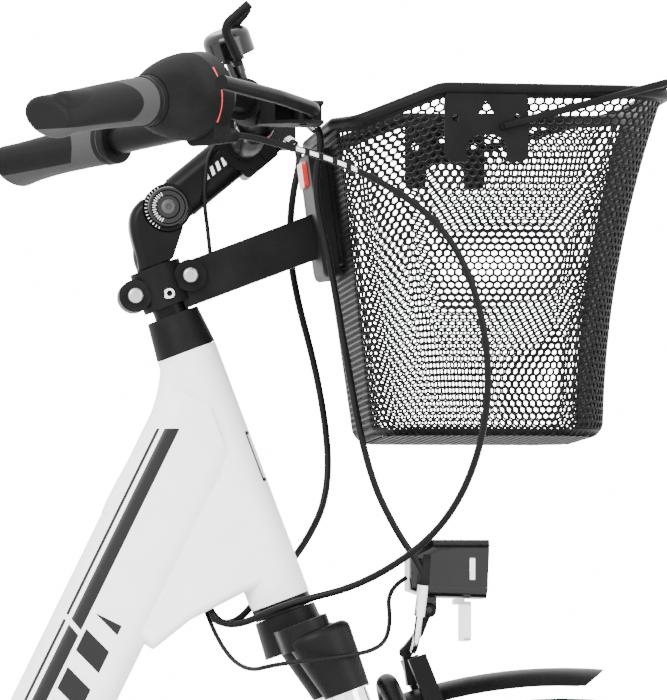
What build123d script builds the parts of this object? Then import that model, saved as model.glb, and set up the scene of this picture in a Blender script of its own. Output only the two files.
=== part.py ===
"""Low-step city bicycle with a sprung fork, hub gear, angle-set stem and a lift-off wire basket.

Millimetres. X points forward, Y to the rider's left, Z up. The origin is on the ground,
midway between the foremost point of the front tyre and the rearmost point of the rear fender.
"""

import math
import os

from build123d import *

os.makedirs("parts", exist_ok=True)

# ---------------------------------------------------------------- driving dimensions
wheelbase = 1130.0
tyre_radius = 350.0
tyre_width = 40.0
rim_radius = 318.0
rim_depth = 18.0
rim_width = 26.0
spoke_count = 36
spoke_radius = 1.0
fender_gap = 22.0
fender_width = 54.0
fender_wall = 1.8

head_angle = 69.3
fork_offset = 41.4
fork_travel = 45.0
leg_offset = 17.0
leg_spacing = 116.0
stanchion_radius = 14.5
lower_radius = 18.5
crown_height = 27.0
cup_height = 9.0
head_tube_length = 190.0
head_tube_radius = 22.0
steerer_radius = 14.3

bottom_bracket_drop = 60.0
chainstay_length = 455.0
seat_angle = 72.0
seat_tube_length = 430.0
seat_tube_radius = 17.5
seatpost_radius = 13.6
saddle_height = 950.0
beam_depth = 68.0
beam_width = 52.0
beam_wall = 3.0
gusset_width = 42.0

crank_length = 170.0
crank_clearance = 68.0
chainline = 47.5
chainring_teeth = 38
sprocket_teeth = 18
chain_pitch = 12.7

bar_half_width = 300.0
bar_radius = 11.1
bar_clamp_radius = 12.7
grip_radius = 17.0

running_gap = 0.05
clearance = 0.4

# ---------------------------------------------------------------- places worked out from them
fender_radius = tyre_radius + fender_gap
front_axle_x = (wheelbase + fender_radius - tyre_radius) / 2
rear_axle_x = front_axle_x - wheelbase
front_axle = Vector(front_axle_x, 0, tyre_radius)
rear_axle = Vector(rear_axle_x, 0, tyre_radius)
bracket = Vector(rear_axle_x + chainstay_length, 0, tyre_radius - bottom_bracket_drop)

tilt = math.radians(90 - head_angle)
axis_up = Vector(-math.sin(tilt), 0, math.cos(tilt))
axis_forward = Vector(math.cos(tilt), 0, math.sin(tilt))
axis_foot = front_axle - axis_forward * fork_offset
sideways = Vector(0, 1, 0)

crown_low = fender_radius + fork_travel + 11
crown_high = crown_low + crown_height
head_low = crown_high + cup_height
head_high = head_low + head_tube_length
cone_high = head_high + 28
clamp_level = head_high + 50
pivot_level = head_high + 101
pivot_ahead = 23.0
bar_level = head_high + 124
bar_ahead = 90.5
column_low = head_high - 70
column_radius = 12.7

seat_lean = math.radians(90 - seat_angle)
seat_up = Vector(-math.sin(seat_lean), 0, math.cos(seat_lean))
seat_top = bracket + seat_up * seat_tube_length


def fork_spot(height, ahead, side=0.0):
    """A point by its height along the steering axis above the front axle, and its place ahead of that axis."""
    return axis_foot + axis_up * height + axis_forward * ahead + sideways * side


def fork_level(height, ahead=0.0, side=0.0):
    """A plane square to the steering axis."""
    return Plane(origin=fork_spot(height, ahead, side), x_dir=axis_forward, z_dir=axis_up)


def fork_side(side=0.0):
    """A plane along the bicycle whose local x runs ahead of the steering axis and local y up it."""
    return Plane(origin=axis_foot + sideways * side, x_dir=axis_forward, z_dir=(0, -1, 0))


def fork_front(ahead, height=0.0, side=0.0):
    """A plane facing forwards off the steering axis, local x to the right side and local y up the axis."""
    return Plane(origin=fork_spot(height, ahead, side), x_dir=(0, 1, 0), z_dir=axis_forward)


def side_plane(centre, side=0.0):
    """A plane along the bicycle through a centre, local x forward and local y up."""
    return Plane(origin=(centre.X, side, centre.Z), x_dir=(1, 0, 0), z_dir=(0, -1, 0))


def left_facing(centre, side=0.0):
    """The same plane facing the rider's left, local x to the rear."""
    return Plane(origin=(centre.X, side, centre.Z), x_dir=(-1, 0, 0), z_dir=(0, 1, 0))


def rod(start, end, radius, bore=0.0):
    """A straight round bar or tube between two points."""
    run = Vector(end) - Vector(start)
    with BuildPart() as piece:
        with BuildSketch(Plane(origin=start, z_dir=run)):
            Circle(radius)
            if bore:
                Circle(bore, mode=Mode.SUBTRACT)
        extrude(amount=run.length)
    return piece.part


def bent_tube(points, bends, radius, bore=0.0):
    """A round tube along straight runs joined by arcs of the given radii."""
    points = [Vector(p) for p in points]
    with BuildPart() as piece:
        with BuildLine() as route:
            FilletPolyline(*points, radius=bends)
        with BuildSketch(Plane(origin=points[0], z_dir=points[1] - points[0])):
            Circle(radius)
            if bore:
                Circle(bore, mode=Mode.SUBTRACT)
        sweep(path=route.wire())
    return piece.part


def cable(name, points, radius):
    """A cable along its hand-set route, each bend as wide as its two runs allow."""
    share = 0.45
    bends = []
    for before, here, after in zip(points, points[1:], points[2:]):
        into, out = here - before, after - here
        half_turn = math.radians(into.get_angle(out)) / 2
        bends.append(share * min(into.length, out.length) / math.tan(half_turn))
    print(name, "bend radii", [round(b) for b in bends])
    with BuildPart() as piece:
        with BuildLine() as route:
            FilletPolyline(*points, radius=bends)
        with BuildSketch(Plane(origin=points[0], z_dir=points[1] - points[0])):
            Circle(radius)
        sweep(path=route.wire())
    section = math.pi * radius**2
    print(name, "length", round(route.wire().length), "volume share",
          round(piece.part.volume / (section * route.wire().length), 4))
    return piece.part


def ring(plane, radius, bore, height):
    """A flat or tall round ring standing on a plane."""
    with BuildPart() as piece:
        with BuildSketch(plane):
            Circle(radius)
            Circle(bore, mode=Mode.SUBTRACT)
        extrude(amount=height)
    return piece.part


def mirrored(piece):
    """The same piece on the bicycle's other side."""
    return piece.mirror(Plane.XZ)


def mirrored_spot(point):
    """The same point on the bicycle's other side."""
    return Vector(point.X, -point.Y, point.Z)


def group(*solids):
    """Several separate solids as one node."""
    return Compound(children=list(solids))


def union(*solids):
    """Several touching solids as one."""
    with BuildPart() as piece:
        for solid in solids:
            add(solid)
    return piece.part


# ---------------------------------------------------------------- wheels
def turned(axle, outline):
    """A solid of revolution about an axle. Outline points are (sideways, radial)."""
    plane = Plane(origin=axle, x_dir=(0, 1, 0), z_dir=(1, 0, 0))
    with BuildPart() as piece:
        with BuildSketch(plane):
            with BuildLine():
                Polyline(*outline, close=True)
            make_face()
        revolve(axis=Axis(axle, (0, 1, 0)))
    return piece.part


def tyre(axle):
    section = tyre_width / 2
    centre = tyre_radius - section
    wall = 3.0
    with BuildPart() as piece:
        with BuildSketch(Plane(origin=axle, x_dir=(0, 1, 0), z_dir=(1, 0, 0))):
            with Locations((0, centre)):
                Circle(section)
                Circle(section - wall, mode=Mode.SUBTRACT)
            with Locations((0, rim_radius - section)):
                Rectangle(tyre_width, tyre_width, mode=Mode.SUBTRACT)
        revolve(axis=Axis(axle, (0, 1, 0)))
    return piece.part


def rim(axle):
    half = rim_width / 2
    inner = rim_radius - rim_depth
    lip = 2.0
    bed = rim_radius - 6.0
    taper = 7.0
    return turned(axle, [
        (-half, rim_radius), (-half, inner + taper), (-half + 5, inner), (half - 5, inner),
        (half, inner + taper), (half, rim_radius), (half - lip, rim_radius), (half - lip, bed),
        (-half + lip, bed), (-half + lip, rim_radius),
    ])


def hub(axle, shell_radius, flange_radius, flange_side, end_side, axle_radius):
    bore = axle_radius + running_gap
    flange = 1.6
    neck = axle_radius + 5
    return turned(axle, [
        (-end_side, bore), (-end_side, neck), (-flange_side - 9, neck + 4),
        (-flange_side - flange, shell_radius), (-flange_side - flange, flange_radius),
        (-flange_side + flange, flange_radius), (-flange_side + flange, shell_radius),
        (flange_side - flange, shell_radius), (flange_side - flange, flange_radius),
        (flange_side + flange, flange_radius), (flange_side + flange, shell_radius),
        (flange_side + 9, neck + 4), (end_side, neck), (end_side, bore),
    ])


def spokes(axle, flange_radius, flange_side):
    """Crossed spokes, leaning forwards and backwards by turns on both flanges."""
    rods = []
    pitch_circle = flange_radius - 3
    rim_seat = rim_radius - rim_depth - 0.3
    for index in range(spoke_count):
        side = 1 if index % 2 else -1
        lean = 1 if (index // 2) % 2 else -1
        at_rim = 2 * math.pi * index / spoke_count
        at_hub = at_rim + lean * math.radians(62)
        head_side = side * (flange_side + (4.3 if lean > 0 else -2.8))
        start = axle + Vector(pitch_circle * math.cos(at_hub), head_side, pitch_circle * math.sin(at_hub))
        end = axle + Vector(rim_seat * math.cos(at_rim), side * 2.5, rim_seat * math.sin(at_rim))
        rods.append(rod(start, end, spoke_radius))
    return group(*rods)


front_axle_radius = 4.5
rear_axle_radius = 5.0
front_flange = (32.0, 30.0)
rear_flange = (46.0, 28.0)

front_tyre = tyre(front_axle)
rear_tyre = tyre(rear_axle)
front_rim = rim(front_axle)
rear_rim = rim(rear_axle)
front_hub = hub(front_axle, 27.0, front_flange[0], front_flange[1], 48.0, front_axle_radius)
rear_hub = hub(rear_axle, 40.0, rear_flange[0], rear_flange[1], 40.0, rear_axle_radius)
front_spokes = spokes(front_axle, *front_flange)
rear_spokes = spokes(rear_axle, *rear_flange)


# ---------------------------------------------------------------- frame
head_top = fork_spot(head_high, 0)
beam_start = fork_spot(head_high - 42, 0)
beam_corner = bracket + Vector(140, 0, 45)
beam_end = bracket + Vector(-12, 0, 18)
beam_bend = 200.0
beam_run = (beam_corner - beam_start).normalized()
# the beam's hollow stops short of the head tube
bore_start = beam_start + beam_run * (beam_depth + 4)
shell_radius = 21.0
shell_half = 34.0
cup_bore = 17.0

# gusset corners: inside the beam, then along its lower edge to the head tube and up it
gusset_inner = fork_spot(head_low + 40, -125)
gusset_toe = fork_spot(head_low, -97)
gusset_lip = fork_spot(head_low + 10, -66)
gusset_root = fork_spot(head_low + 15, -23)
gusset_heel = fork_spot(head_low + 15, 0)
gusset_crest = fork_spot(head_low + 104, 0)
gusset_corners = (gusset_inner, gusset_toe, gusset_lip, gusset_root, gusset_heel, gusset_crest)
port_centre = (gusset_lip + gusset_root) * 0.5

with BuildPart() as lower_gusset:
    with BuildSketch(Plane.XZ):
        with BuildLine():
            Polyline(*[(p.X, p.Z) for p in gusset_corners], close=True)
        make_face()
    extrude(amount=gusset_width / 2, both=True)
    fillet(lower_gusset.faces().filter_by(Axis.Y).edges(), 6)

# the web that fills the corner between the head tube and the top of the beam
with BuildPart() as upper_gusset:
    with BuildSketch(fork_side()):
        with BuildLine():
            Spline((-20, head_high - 2), (-37, head_high - 30), (-56, head_high - 49), (-97, head_high - 86))
            Polyline((-97, head_high - 86), (-50, head_high - 120), (0, head_high - 120), (0, head_high - 12),
                     (-20, head_high - 2))
        make_face()
    extrude(amount=gusset_width / 2 - 1, both=True)
    fillet(upper_gusset.edges().filter_by(GeomType.BSPLINE), 9)

with BuildPart() as frame_front:
    with BuildLine() as beam_path:
        FilletPolyline(beam_start, beam_corner, beam_end, radius=beam_bend)
    with BuildSketch(Plane(origin=beam_start, x_dir=(0, 1, 0), z_dir=beam_run)):
        RectangleRounded(beam_width, beam_depth, 19)
    sweep(path=beam_path.wire())
    # the beam ends on the steering axis, inside the head tube
    with BuildSketch(fork_front(0, head_high)):
        Rectangle(2 * beam_width, 2 * head_tube_length)
    extrude(amount=2 * beam_depth, mode=Mode.SUBTRACT)
    with BuildSketch(fork_level(head_low)):
        Circle(head_tube_radius)
    extrude(amount=head_tube_length)
    add(lower_gusset)
    add(upper_gusset)
    with BuildSketch(Plane(origin=bracket, z_dir=seat_up)):
        Circle(seat_tube_radius)
    extrude(amount=seat_tube_length)
    with BuildSketch(side_plane(bracket)):
        Circle(shell_radius)
    extrude(amount=shell_half, both=True)
    # hollow beam, then the three bores
    with BuildLine() as bore_path:
        FilletPolyline(bore_start, beam_corner, beam_end, radius=beam_bend)
    with BuildSketch(Plane(origin=bore_start, x_dir=(0, 1, 0), z_dir=beam_run)):
        RectangleRounded(beam_width - 2 * beam_wall, beam_depth - 2 * beam_wall, 16)
    sweep(path=bore_path.wire(), mode=Mode.SUBTRACT)
    with BuildSketch(fork_level(head_low)):
        Circle(cup_bore)
    extrude(amount=head_tube_length, mode=Mode.SUBTRACT)
    with BuildSketch(Plane(origin=bracket + seat_up * (shell_radius + 2), z_dir=seat_up)):
        Circle(seatpost_radius + running_gap)
    extrude(amount=seat_tube_length, mode=Mode.SUBTRACT)
    with BuildSketch(side_plane(bracket)):
        Circle(cup_bore)
    extrude(amount=shell_half, both=True, mode=Mode.SUBTRACT)
    # cable port in the gusset's lower edge
    port_run = (gusset_root - gusset_lip).normalized()
    with BuildSketch(Plane(origin=port_centre, x_dir=port_run, z_dir=Vector(0, 1, 0).cross(port_run) * -1)):
        RectangleRounded(44, 30, 6)
    extrude(amount=18, both=True, mode=Mode.SUBTRACT)

stay_radius = 7.5
stay_inner = 35.5
dropout_side = 68.0
dropout_wall = 5.0
stay_foot = rear_axle + Vector(30, 0, -4)
stay_head = rear_axle + Vector(16, 0, 26)


def chainstay(side):
    """The right stay keeps inside the chain until it is past the guard; the left one runs straight."""
    if side < 0:
        corner = [Vector(rear_axle.X + 80, side * stay_inner, rear_axle.Z - 10)]
        bends = [60, 25]
    else:
        corner = []
        bends = [60]
    return bent_tube([
        bracket + Vector(-14, side * 22, 2),
        bracket + Vector(-100, side * stay_inner, 12),
        *corner,
        stay_foot + Vector(0, side * dropout_side, 0),
    ], bends, stay_radius)


def seatstay(side):
    joint = bracket + seat_up * (seat_tube_length - 70)
    return bent_tube([
        joint + Vector(0, side * 22, 0),
        joint + Vector(-72, side * 44, -36),
        stay_head + Vector(0, side * dropout_side, 0),
    ], [80], stay_radius - 1)


def dropout(side):
    with BuildPart() as piece:
        with BuildSketch(side_plane(rear_axle, side * dropout_side)):
            with BuildLine():
                Polyline((-22, -16), (44, -18), (44, 8), (28, 44), (8, 44), (-22, 14), close=True)
            make_face()
            Circle(rear_axle_radius + running_gap, mode=Mode.SUBTRACT)
        extrude(amount=dropout_wall / 2, both=True)
        fillet(piece.edges().filter_by(Axis.Y).group_by(SortBy.LENGTH)[-1].filter_by(GeomType.LINE), 4)
    return piece.part


# ---------------------------------------------------------------- bearings
def headset_cup(level, height, outer):
    return ring(fork_level(level), outer, steerer_radius + running_gap, height)


bracket_cup_depth = 22.0
spindle_radius = 8.5
bearings = [
    headset_cup(head_low - cup_height + clearance, cup_height - clearance, head_tube_radius - 0.5),
    headset_cup(head_low, 14, cup_bore - 0.01),
    headset_cup(head_high - 14, 14, cup_bore - 0.01),
    ring(side_plane(bracket, -shell_half + bracket_cup_depth), cup_bore, spindle_radius + running_gap,
         bracket_cup_depth),
    ring(left_facing(bracket, shell_half - bracket_cup_depth), cup_bore, spindle_radius + running_gap,
         bracket_cup_depth),
]


# ---------------------------------------------------------------- fork
leg_half = leg_spacing / 2
leg_top = crown_low - 41
lower_top = fender_radius - 72
stanchion_low = lower_top - 120
boss_level = rim_radius - 37
boss_ahead = 68.0
boss_side = 42.0
stud_radius = 4.5
arm_thickness = 13.0

def leg_cover(side):
    """The crown's shoulder, narrowing down to the stanchion."""
    with BuildPart() as piece:
        with BuildSketch(fork_level(crown_low + 9, leg_offset - 4.5, side * leg_half)):
            Ellipse(24, 20)
        with BuildSketch(fork_level(leg_top, leg_offset + 1, side * leg_half)):
            Circle(stanchion_radius + 2)
        loft()
        fillet(piece.faces().sort_by(Axis(axis_foot, axis_up))[-1].edges(), 6)
    return piece.part


with BuildPart() as fork_upper:
    with BuildSketch(fork_level(crown_low, 5)):
        SlotOverall(leg_spacing + 26, 38, rotation=90)
    extrude(amount=crown_height - 10)
    with BuildSketch(fork_level(crown_low)):
        Circle(head_tube_radius + 2.5)
    with BuildSketch(fork_level(crown_high)):
        Circle(head_tube_radius + 0.5)
    loft()
    add(leg_cover(-1))
    add(leg_cover(1))
    with BuildSketch(fork_level(crown_high)):
        Circle(steerer_radius)
    extrude(amount=cone_high - 4 - crown_high)
    with BuildSketch(fork_level(stanchion_low, leg_offset, 0)):
        with GridLocations(1, leg_spacing, 1, 2):
            Circle(stanchion_radius)
    extrude(amount=leg_top + 4 - stanchion_low)
    with BuildSketch(fork_level(column_low - 5)):
        Circle(column_radius + running_gap)
    extrude(amount=cone_high - column_low + 10, mode=Mode.SUBTRACT)


def fork_lower(side):
    """One cast lower leg: tube, axle dropout and brake boss."""
    with BuildPart() as piece:
        with BuildSketch(fork_level(28, leg_offset, side * leg_half)):
            Circle(lower_radius)
        extrude(amount=lower_top - 28)
        with BuildSketch(fork_level(lower_top, leg_offset, side * leg_half)):
            Circle(lower_radius + 1.5)
        extrude(amount=-12)
        with BuildSketch(fork_side(side * (leg_half - 2))):
            with BuildLine():
                Polyline((leg_offset - 16, 60), (leg_offset + 16, 60), (fork_offset + 14, 8),
                         (fork_offset + 8, -13), (fork_offset - 8, -13), (fork_offset - 14, 6), close=True)
            make_face()
        extrude(amount=4, both=True)
        with BuildSketch(fork_side(side * 47)):
            with Locations(((leg_offset + boss_ahead) / 2, boss_level)):
                Rectangle(boss_ahead - leg_offset, 18)
        extrude(amount=8, both=True)
        with BuildSketch(fork_front(boss_ahead - 1, boss_level, side * boss_side)):
            Circle(stud_radius)
        extrude(amount=arm_thickness + 4)
        # the stanchion's bore, and the axle's hole
        with BuildSketch(fork_level(stanchion_low - fork_travel - 2, leg_offset, side * leg_half)):
            Circle(stanchion_radius + running_gap)
        extrude(amount=lower_top - stanchion_low + fork_travel + 12, mode=Mode.SUBTRACT)
        with BuildSketch(fork_side(0)):
            with Locations((fork_offset, 0)):
                Circle(front_axle_radius + running_gap)
        extrude(amount=leg_spacing, both=True, mode=Mode.SUBTRACT)
    return piece.part


arch_front = 50.0
arch = bent_tube([
    fork_spot(lower_top - 10, leg_offset + 23, -leg_half + 2),
    fork_spot(lower_top + 52, arch_front - 1, -leg_half + 5),
    fork_spot(fender_radius + 16, arch_front + 1, 0),
    fork_spot(lower_top + 52, arch_front - 1, leg_half - 5),
    fork_spot(lower_top - 10, leg_offset + 23, leg_half - 2),
], [24, 30, 24], 7.5)
fork_lowers = union(fork_lower(-1), fork_lower(1), arch)


# ---------------------------------------------------------------- axles
def fixed_axle(centre, radius, half, nut_from, nut_radius):
    """An axle with a nut outside each dropout."""
    with BuildPart() as piece:
        with BuildSketch(side_plane(centre)):
            Circle(radius)
        extrude(amount=half, both=True)
        for plane in (side_plane(centre, -nut_from), left_facing(centre, nut_from)):
            with BuildSketch(plane):
                RegularPolygon(nut_radius, 6)
            extrude(amount=8)
    return piece.part


front_axle_rod = fixed_axle(front_axle, front_axle_radius, leg_half + 16, leg_half + 2.1, 9)
brake_drum_side = 42.0
rear_axle_rod = fixed_axle(rear_axle, rear_axle_radius, dropout_side + 16, dropout_side + dropout_wall / 2 + 0.1, 9)
drum_brake = ring(left_facing(rear_axle, brake_drum_side), 46, rear_axle_radius + running_gap, 14)
bearings_and_axle = group(*bearings, rear_axle_rod, drum_brake)


# ---------------------------------------------------------------- fenders and carrier
def fender(axle, start_angle, sweep_angle):
    """A curved strip round a wheel, from one angle above the forward horizon."""
    crown = 34.0
    depth = 13.0
    phi = math.radians(start_angle)
    face = (math.sin(phi), 0, -math.cos(phi))
    with BuildPart() as piece:
        with BuildSketch(Plane(origin=axle, x_dir=(0, 1, 0), z_dir=face)):
            with Locations((0, fender_radius - crown)):
                Circle(crown)
                Circle(crown - fender_wall, mode=Mode.SUBTRACT)
            with Locations((0, fender_radius - depth / 2)):
                Rectangle(fender_width, depth, mode=Mode.INTERSECT)
        revolve(axis=Axis(axle, (0, -1, 0)), revolution_arc=sweep_angle)
    return piece.part


def fender_stay(axle, angle, side, foot, radius=1.8):
    """A wire stay from a dropout up to the fender's edge."""
    phi = math.radians(angle)
    reach = fender_radius - 11
    edge = axle + Vector(reach * math.cos(phi), side * (fender_width / 2 + 0.8), reach * math.sin(phi))
    return rod(foot, edge, radius)


front_nose_angle = 85.5
nose_low = front_axle + Vector(9.5, 0, fender_radius - 16.5)
nose_tip = front_axle + Vector(29.5, 0, fender_radius - 1)
with BuildPart() as nose_cut:
    with BuildSketch(Plane.XZ):
        with BuildLine():
            Polyline((nose_tip.X, nose_tip.Z), (nose_low.X, nose_low.Z), (nose_low.X, nose_low.Z - 20),
                     (nose_tip.X + 20, nose_low.Z - 20), (nose_tip.X + 20, nose_tip.Z), close=True)
        make_face()
    extrude(amount=fender_width, both=True)
front_blade = fender(front_axle, front_nose_angle, 118) - nose_cut.part
front_stay_foot = fork_spot(34, leg_offset - 22, 0)
front_fender = union(
    front_blade,
    *[fender_stay(front_axle, 182, side, front_stay_foot + sideways * side * (leg_half - 2))
      for side in (-1, 1)],
)
rear_stay_foot = rear_axle + Vector(-14, 0, 6)
rear_fender = union(
    fender(rear_axle, 9, 196),
    *[fender_stay(rear_axle, angle, side, rear_stay_foot + sideways * side * (dropout_side + 6))
      for side in (-1, 1) for angle in (148, 196)],
)

carrier_level = 2 * tyre_radius + fender_gap + 18
carrier_half = 62.0
carrier_front = rear_axle_x + 150
carrier_back = rear_axle_x - 205
carrier_tube = 5.0


def carrier_point(x, side, drop=0.0):
    return Vector(x, side, carrier_level - drop)


rack_loop = bent_tube([
    carrier_point(carrier_front + 92, -16, 10),
    carrier_point(carrier_front, -carrier_half),
    carrier_point(carrier_back, -carrier_half),
    carrier_point(carrier_back, carrier_half),
    carrier_point(carrier_front, carrier_half),
    carrier_point(carrier_front + 92, 16, 10),
], [40, 24, 24, 40], carrier_tube)
rack_bars = [
    rod(carrier_point(x, -carrier_half), carrier_point(x, carrier_half), 3.5)
    for x in (carrier_front - 20, rear_axle_x + 20, carrier_back + 80)
]
rack_legs = [
    rod(rear_axle + Vector(-10, side * (dropout_side + 8), 30), carrier_point(x, side * carrier_half), 4.5)
    for side in (-1, 1) for x in (rear_axle_x + 70, rear_axle_x - 70)
]
rack_feet = []
for side in (-1, 1):
    with BuildPart() as foot:
        with BuildSketch(side_plane(rear_axle, side * (dropout_side + 8))):
            with Locations((-8, 24)):
                RectangleRounded(26, 22, 6)
        extrude(amount=4.5, both=True)
    rack_feet.append(foot.part)
rear_carrier = union(rack_loop, *rack_bars, *rack_legs, *rack_feet)

with BuildPart() as rear_light:
    with BuildSketch(Plane(origin=carrier_point(carrier_back - carrier_tube - clearance, 0, 2), z_dir=(-1, 0, 0))):
        RectangleRounded(34, 96, 12)
    extrude(amount=22)
    fillet(rear_light.faces().sort_by(Axis.X)[0].edges(), 5)


# ---------------------------------------------------------------- saddle
post_low = bracket + seat_up * (seat_tube_length - 110)
post_high = bracket + seat_up * ((saddle_height - 62 - bracket.Z) / seat_up.Z)
saddle_mid = Vector(post_high.X - 6, 0, saddle_height)

rail_side = 22.0


def saddle_rail(side):
    return bent_tube([
        saddle_mid + Vector(112, side * 10, -26),
        saddle_mid + Vector(46, side * rail_side, -52),
        saddle_mid + Vector(-46, side * rail_side, -52),
        saddle_mid + Vector(-96, side * 40, -26),
    ], [40, 40], 3.5)


with BuildPart() as post_head:
    with BuildSketch(side_plane(post_high)):
        RectangleRounded(40, 26, 8)
    extrude(amount=rail_side + 7, both=True)
seatpost_tube = rod(post_low, post_high, seatpost_radius, seatpost_radius - 2.5)
seatpost = union(seatpost_tube, post_head.part, saddle_rail(-1), saddle_rail(1))

with BuildPart() as saddle:
    with BuildSketch(Plane(origin=saddle_mid + Vector(0, 0, -29), z_dir=(0, 0, 1))):
        with BuildLine():
            Spline((140, 0), (118, 19), (40, 34), (-40, 78), (-100, 98), (-132, 64), (-136, 0))
            mirror(about=Plane.XZ)
        make_face()
    extrude(amount=29)
    fillet(saddle.faces().sort_by(Axis.Z)[-1].edges(), 12)
    add(seatpost, mode=Mode.SUBTRACT)

collar_low = seat_tube_length + 0.5
with BuildPart() as seat_clamp:
    with BuildSketch(Plane(origin=bracket + seat_up * collar_low, x_dir=(0, 1, 0), z_dir=seat_up)):
        Circle(seat_tube_radius + 3)
        with Locations((0, seat_tube_radius + 7)):
            Rectangle(24, 14)
        Circle(seatpost_radius + running_gap, mode=Mode.SUBTRACT)
        with Locations((0, seat_tube_radius + 4)):
            Rectangle(3, 26, mode=Mode.SUBTRACT)
    extrude(amount=16)

lever_pivot = (bracket + seat_up * (collar_low + 8)
               + Vector(seat_up.Z, 0, -seat_up.X) * -(seat_tube_radius + 9))
lever_cam_side = 18.5
cam_radius = 5.5
with BuildPart() as seat_clamp_lever:
    cam_middle = lever_pivot + sideways * lever_cam_side
    add(rod(cam_middle - Vector(8, 0, 0), cam_middle + Vector(8, 0, 0), cam_radius))
    with BuildSketch(left_facing(lever_pivot, lever_cam_side - 3)):
        with BuildLine():
            Polyline((-6, 2.5), (8, 2.5), (8, -6), (20, -44), (14, -58), (6, -58), (2, -30), (-6, -6), close=True)
        make_face()
    extrude(amount=6)


# ---------------------------------------------------------------- drive
chainring_radius = chain_pitch * chainring_teeth / (2 * math.pi)
sprocket_radius = chain_pitch * sprocket_teeth / (2 * math.pi)
chain_half = 4.2


def toothed(centre, teeth, pitch_radius, thickness, bore):
    """A toothed disc, its teeth standing into the gaps of the chain."""
    tooth = 2.2
    with BuildPart() as piece:
        with BuildSketch(side_plane(centre, -chainline)):
            Circle(pitch_radius - chain_half - clearance - 1.5 * tooth)
            with PolarLocations(pitch_radius - chain_half - clearance - 1.5 * tooth, teeth):
                RegularPolygon(tooth + 0.6, 4)
            Circle(bore, mode=Mode.SUBTRACT)
        extrude(amount=thickness / 2, both=True)
    return piece.part


chainring = toothed(bracket, chainring_teeth, chainring_radius, 3.0, spindle_radius + 1)
sprocket = toothed(rear_axle, sprocket_teeth, sprocket_radius, 3.0, rear_axle_radius + 3)

# the chain's loop: two straight runs tangent to both wheels
span = rear_axle - bracket
reach = math.hypot(span.X, span.Z)
slope = math.atan2(span.Z, span.X)
lean = math.acos((chainring_radius - sprocket_radius) / reach)


def chain_outline(offset):
    """Corner points where a loop, set off from the chain's pitch line, touches its two wheels."""
    big, small = chainring_radius + offset, sprocket_radius + offset
    points = []
    for sign in (1, -1):
        angle = slope + sign * lean
        for centre, radius in ((bracket, big), (rear_axle, small)):
            points.append((centre.X + radius * math.cos(angle), centre.Z + radius * math.sin(angle)))
    far = [(bracket.X - big * math.cos(slope), bracket.Z - big * math.sin(slope)),
           (rear_axle.X + small * math.cos(slope), rear_axle.Z + small * math.sin(slope))]
    return points, far


def loop_lines(offset):
    """Draws such a loop inside a BuildLine."""
    (big_a, small_a, big_b, small_b), (big_far, small_far) = chain_outline(offset)
    Line(big_a, small_a)
    ThreePointArc(small_a, small_far, small_b)
    Line(small_b, big_b)
    ThreePointArc(big_b, big_far, big_a)


def outboard(side):
    """A plane along the bicycle at a sideways place, with the bicycle's own x and z as its axes."""
    return Plane(origin=(0, side, 0), x_dir=(1, 0, 0), z_dir=(0, -1, 0))


chain_width = 6.4
with BuildPart() as chain:
    with BuildSketch(outboard(-chainline)):
        with BuildLine():
            loop_lines(chain_half)
        make_face()
        with BuildLine():
            loop_lines(-chain_half)
        make_face(mode=Mode.SUBTRACT)
    extrude(amount=chain_width / 2, both=True)

guard_gap = 10.0
guard_wall = 2.0
guard_depth = 13.0
guard_side = -chainline - 7.0
with BuildPart() as chain_guard:
    with BuildSketch(outboard(guard_side)):
        with BuildLine():
            loop_lines(guard_gap)
        make_face()
        with Locations((rear_axle_x - 80, rear_axle.Z)):
            Rectangle(300, 320, mode=Mode.SUBTRACT)
        with Locations((bracket.X, bracket.Z)):
            Circle(26, mode=Mode.SUBTRACT)
    extrude(amount=guard_wall)
    with BuildSketch(outboard(guard_side + guard_depth)):
        with BuildLine():
            loop_lines(guard_gap)
        make_face()
        with BuildLine():
            loop_lines(guard_gap - guard_wall)
        make_face(mode=Mode.SUBTRACT)
        with Locations((rear_axle_x - 80, rear_axle.Z)):
            Rectangle(300, 320, mode=Mode.SUBTRACT)
    extrude(amount=guard_depth)


# ---------------------------------------------------------------- cranks and pedals
arm_side = 66.0
arm_depth = 12.0
pedal_thread = 6.0
pedal_axle_length = 96.0


def crank_end(side):
    """The pedal's place: right arm forward, left arm back."""
    return bracket + Vector(-side * crank_length, side * (arm_side + arm_depth / 2), 0)


def crank_arm(side):
    lean = Vector(-side, 0, 0)
    with BuildPart() as piece:
        with BuildSketch(side_plane(bracket, side * arm_side)):
            with Locations((lean.X * crank_length / 2, 0)):
                SlotCenterToCenter(crank_length, 27)
        extrude(amount=arm_depth / 2, both=True)
        with BuildSketch(side_plane(crank_end(side), side * arm_side)):
            Circle(pedal_thread)
        extrude(amount=arm_depth, both=True, mode=Mode.SUBTRACT)
    start = crank_end(side) + Vector(0, -side * arm_depth, 0)
    axle = rod(start, crank_end(side) + Vector(0, side * pedal_axle_length, 0), pedal_thread - 1)
    head = rod(start, crank_end(side) + Vector(0, side * 4, 0), pedal_thread + 1)
    return union(piece.part, axle, head)


spindle = rod(bracket + Vector(0, -arm_side, 0), bracket + Vector(0, arm_side, 0), spindle_radius)
spider = ring(side_plane(bracket, -chainline + 4), 23, spindle_radius - 1, arm_side - chainline)
crankset = union(crank_arm(-1), crank_arm(1), spindle, spider, chainring)


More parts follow.
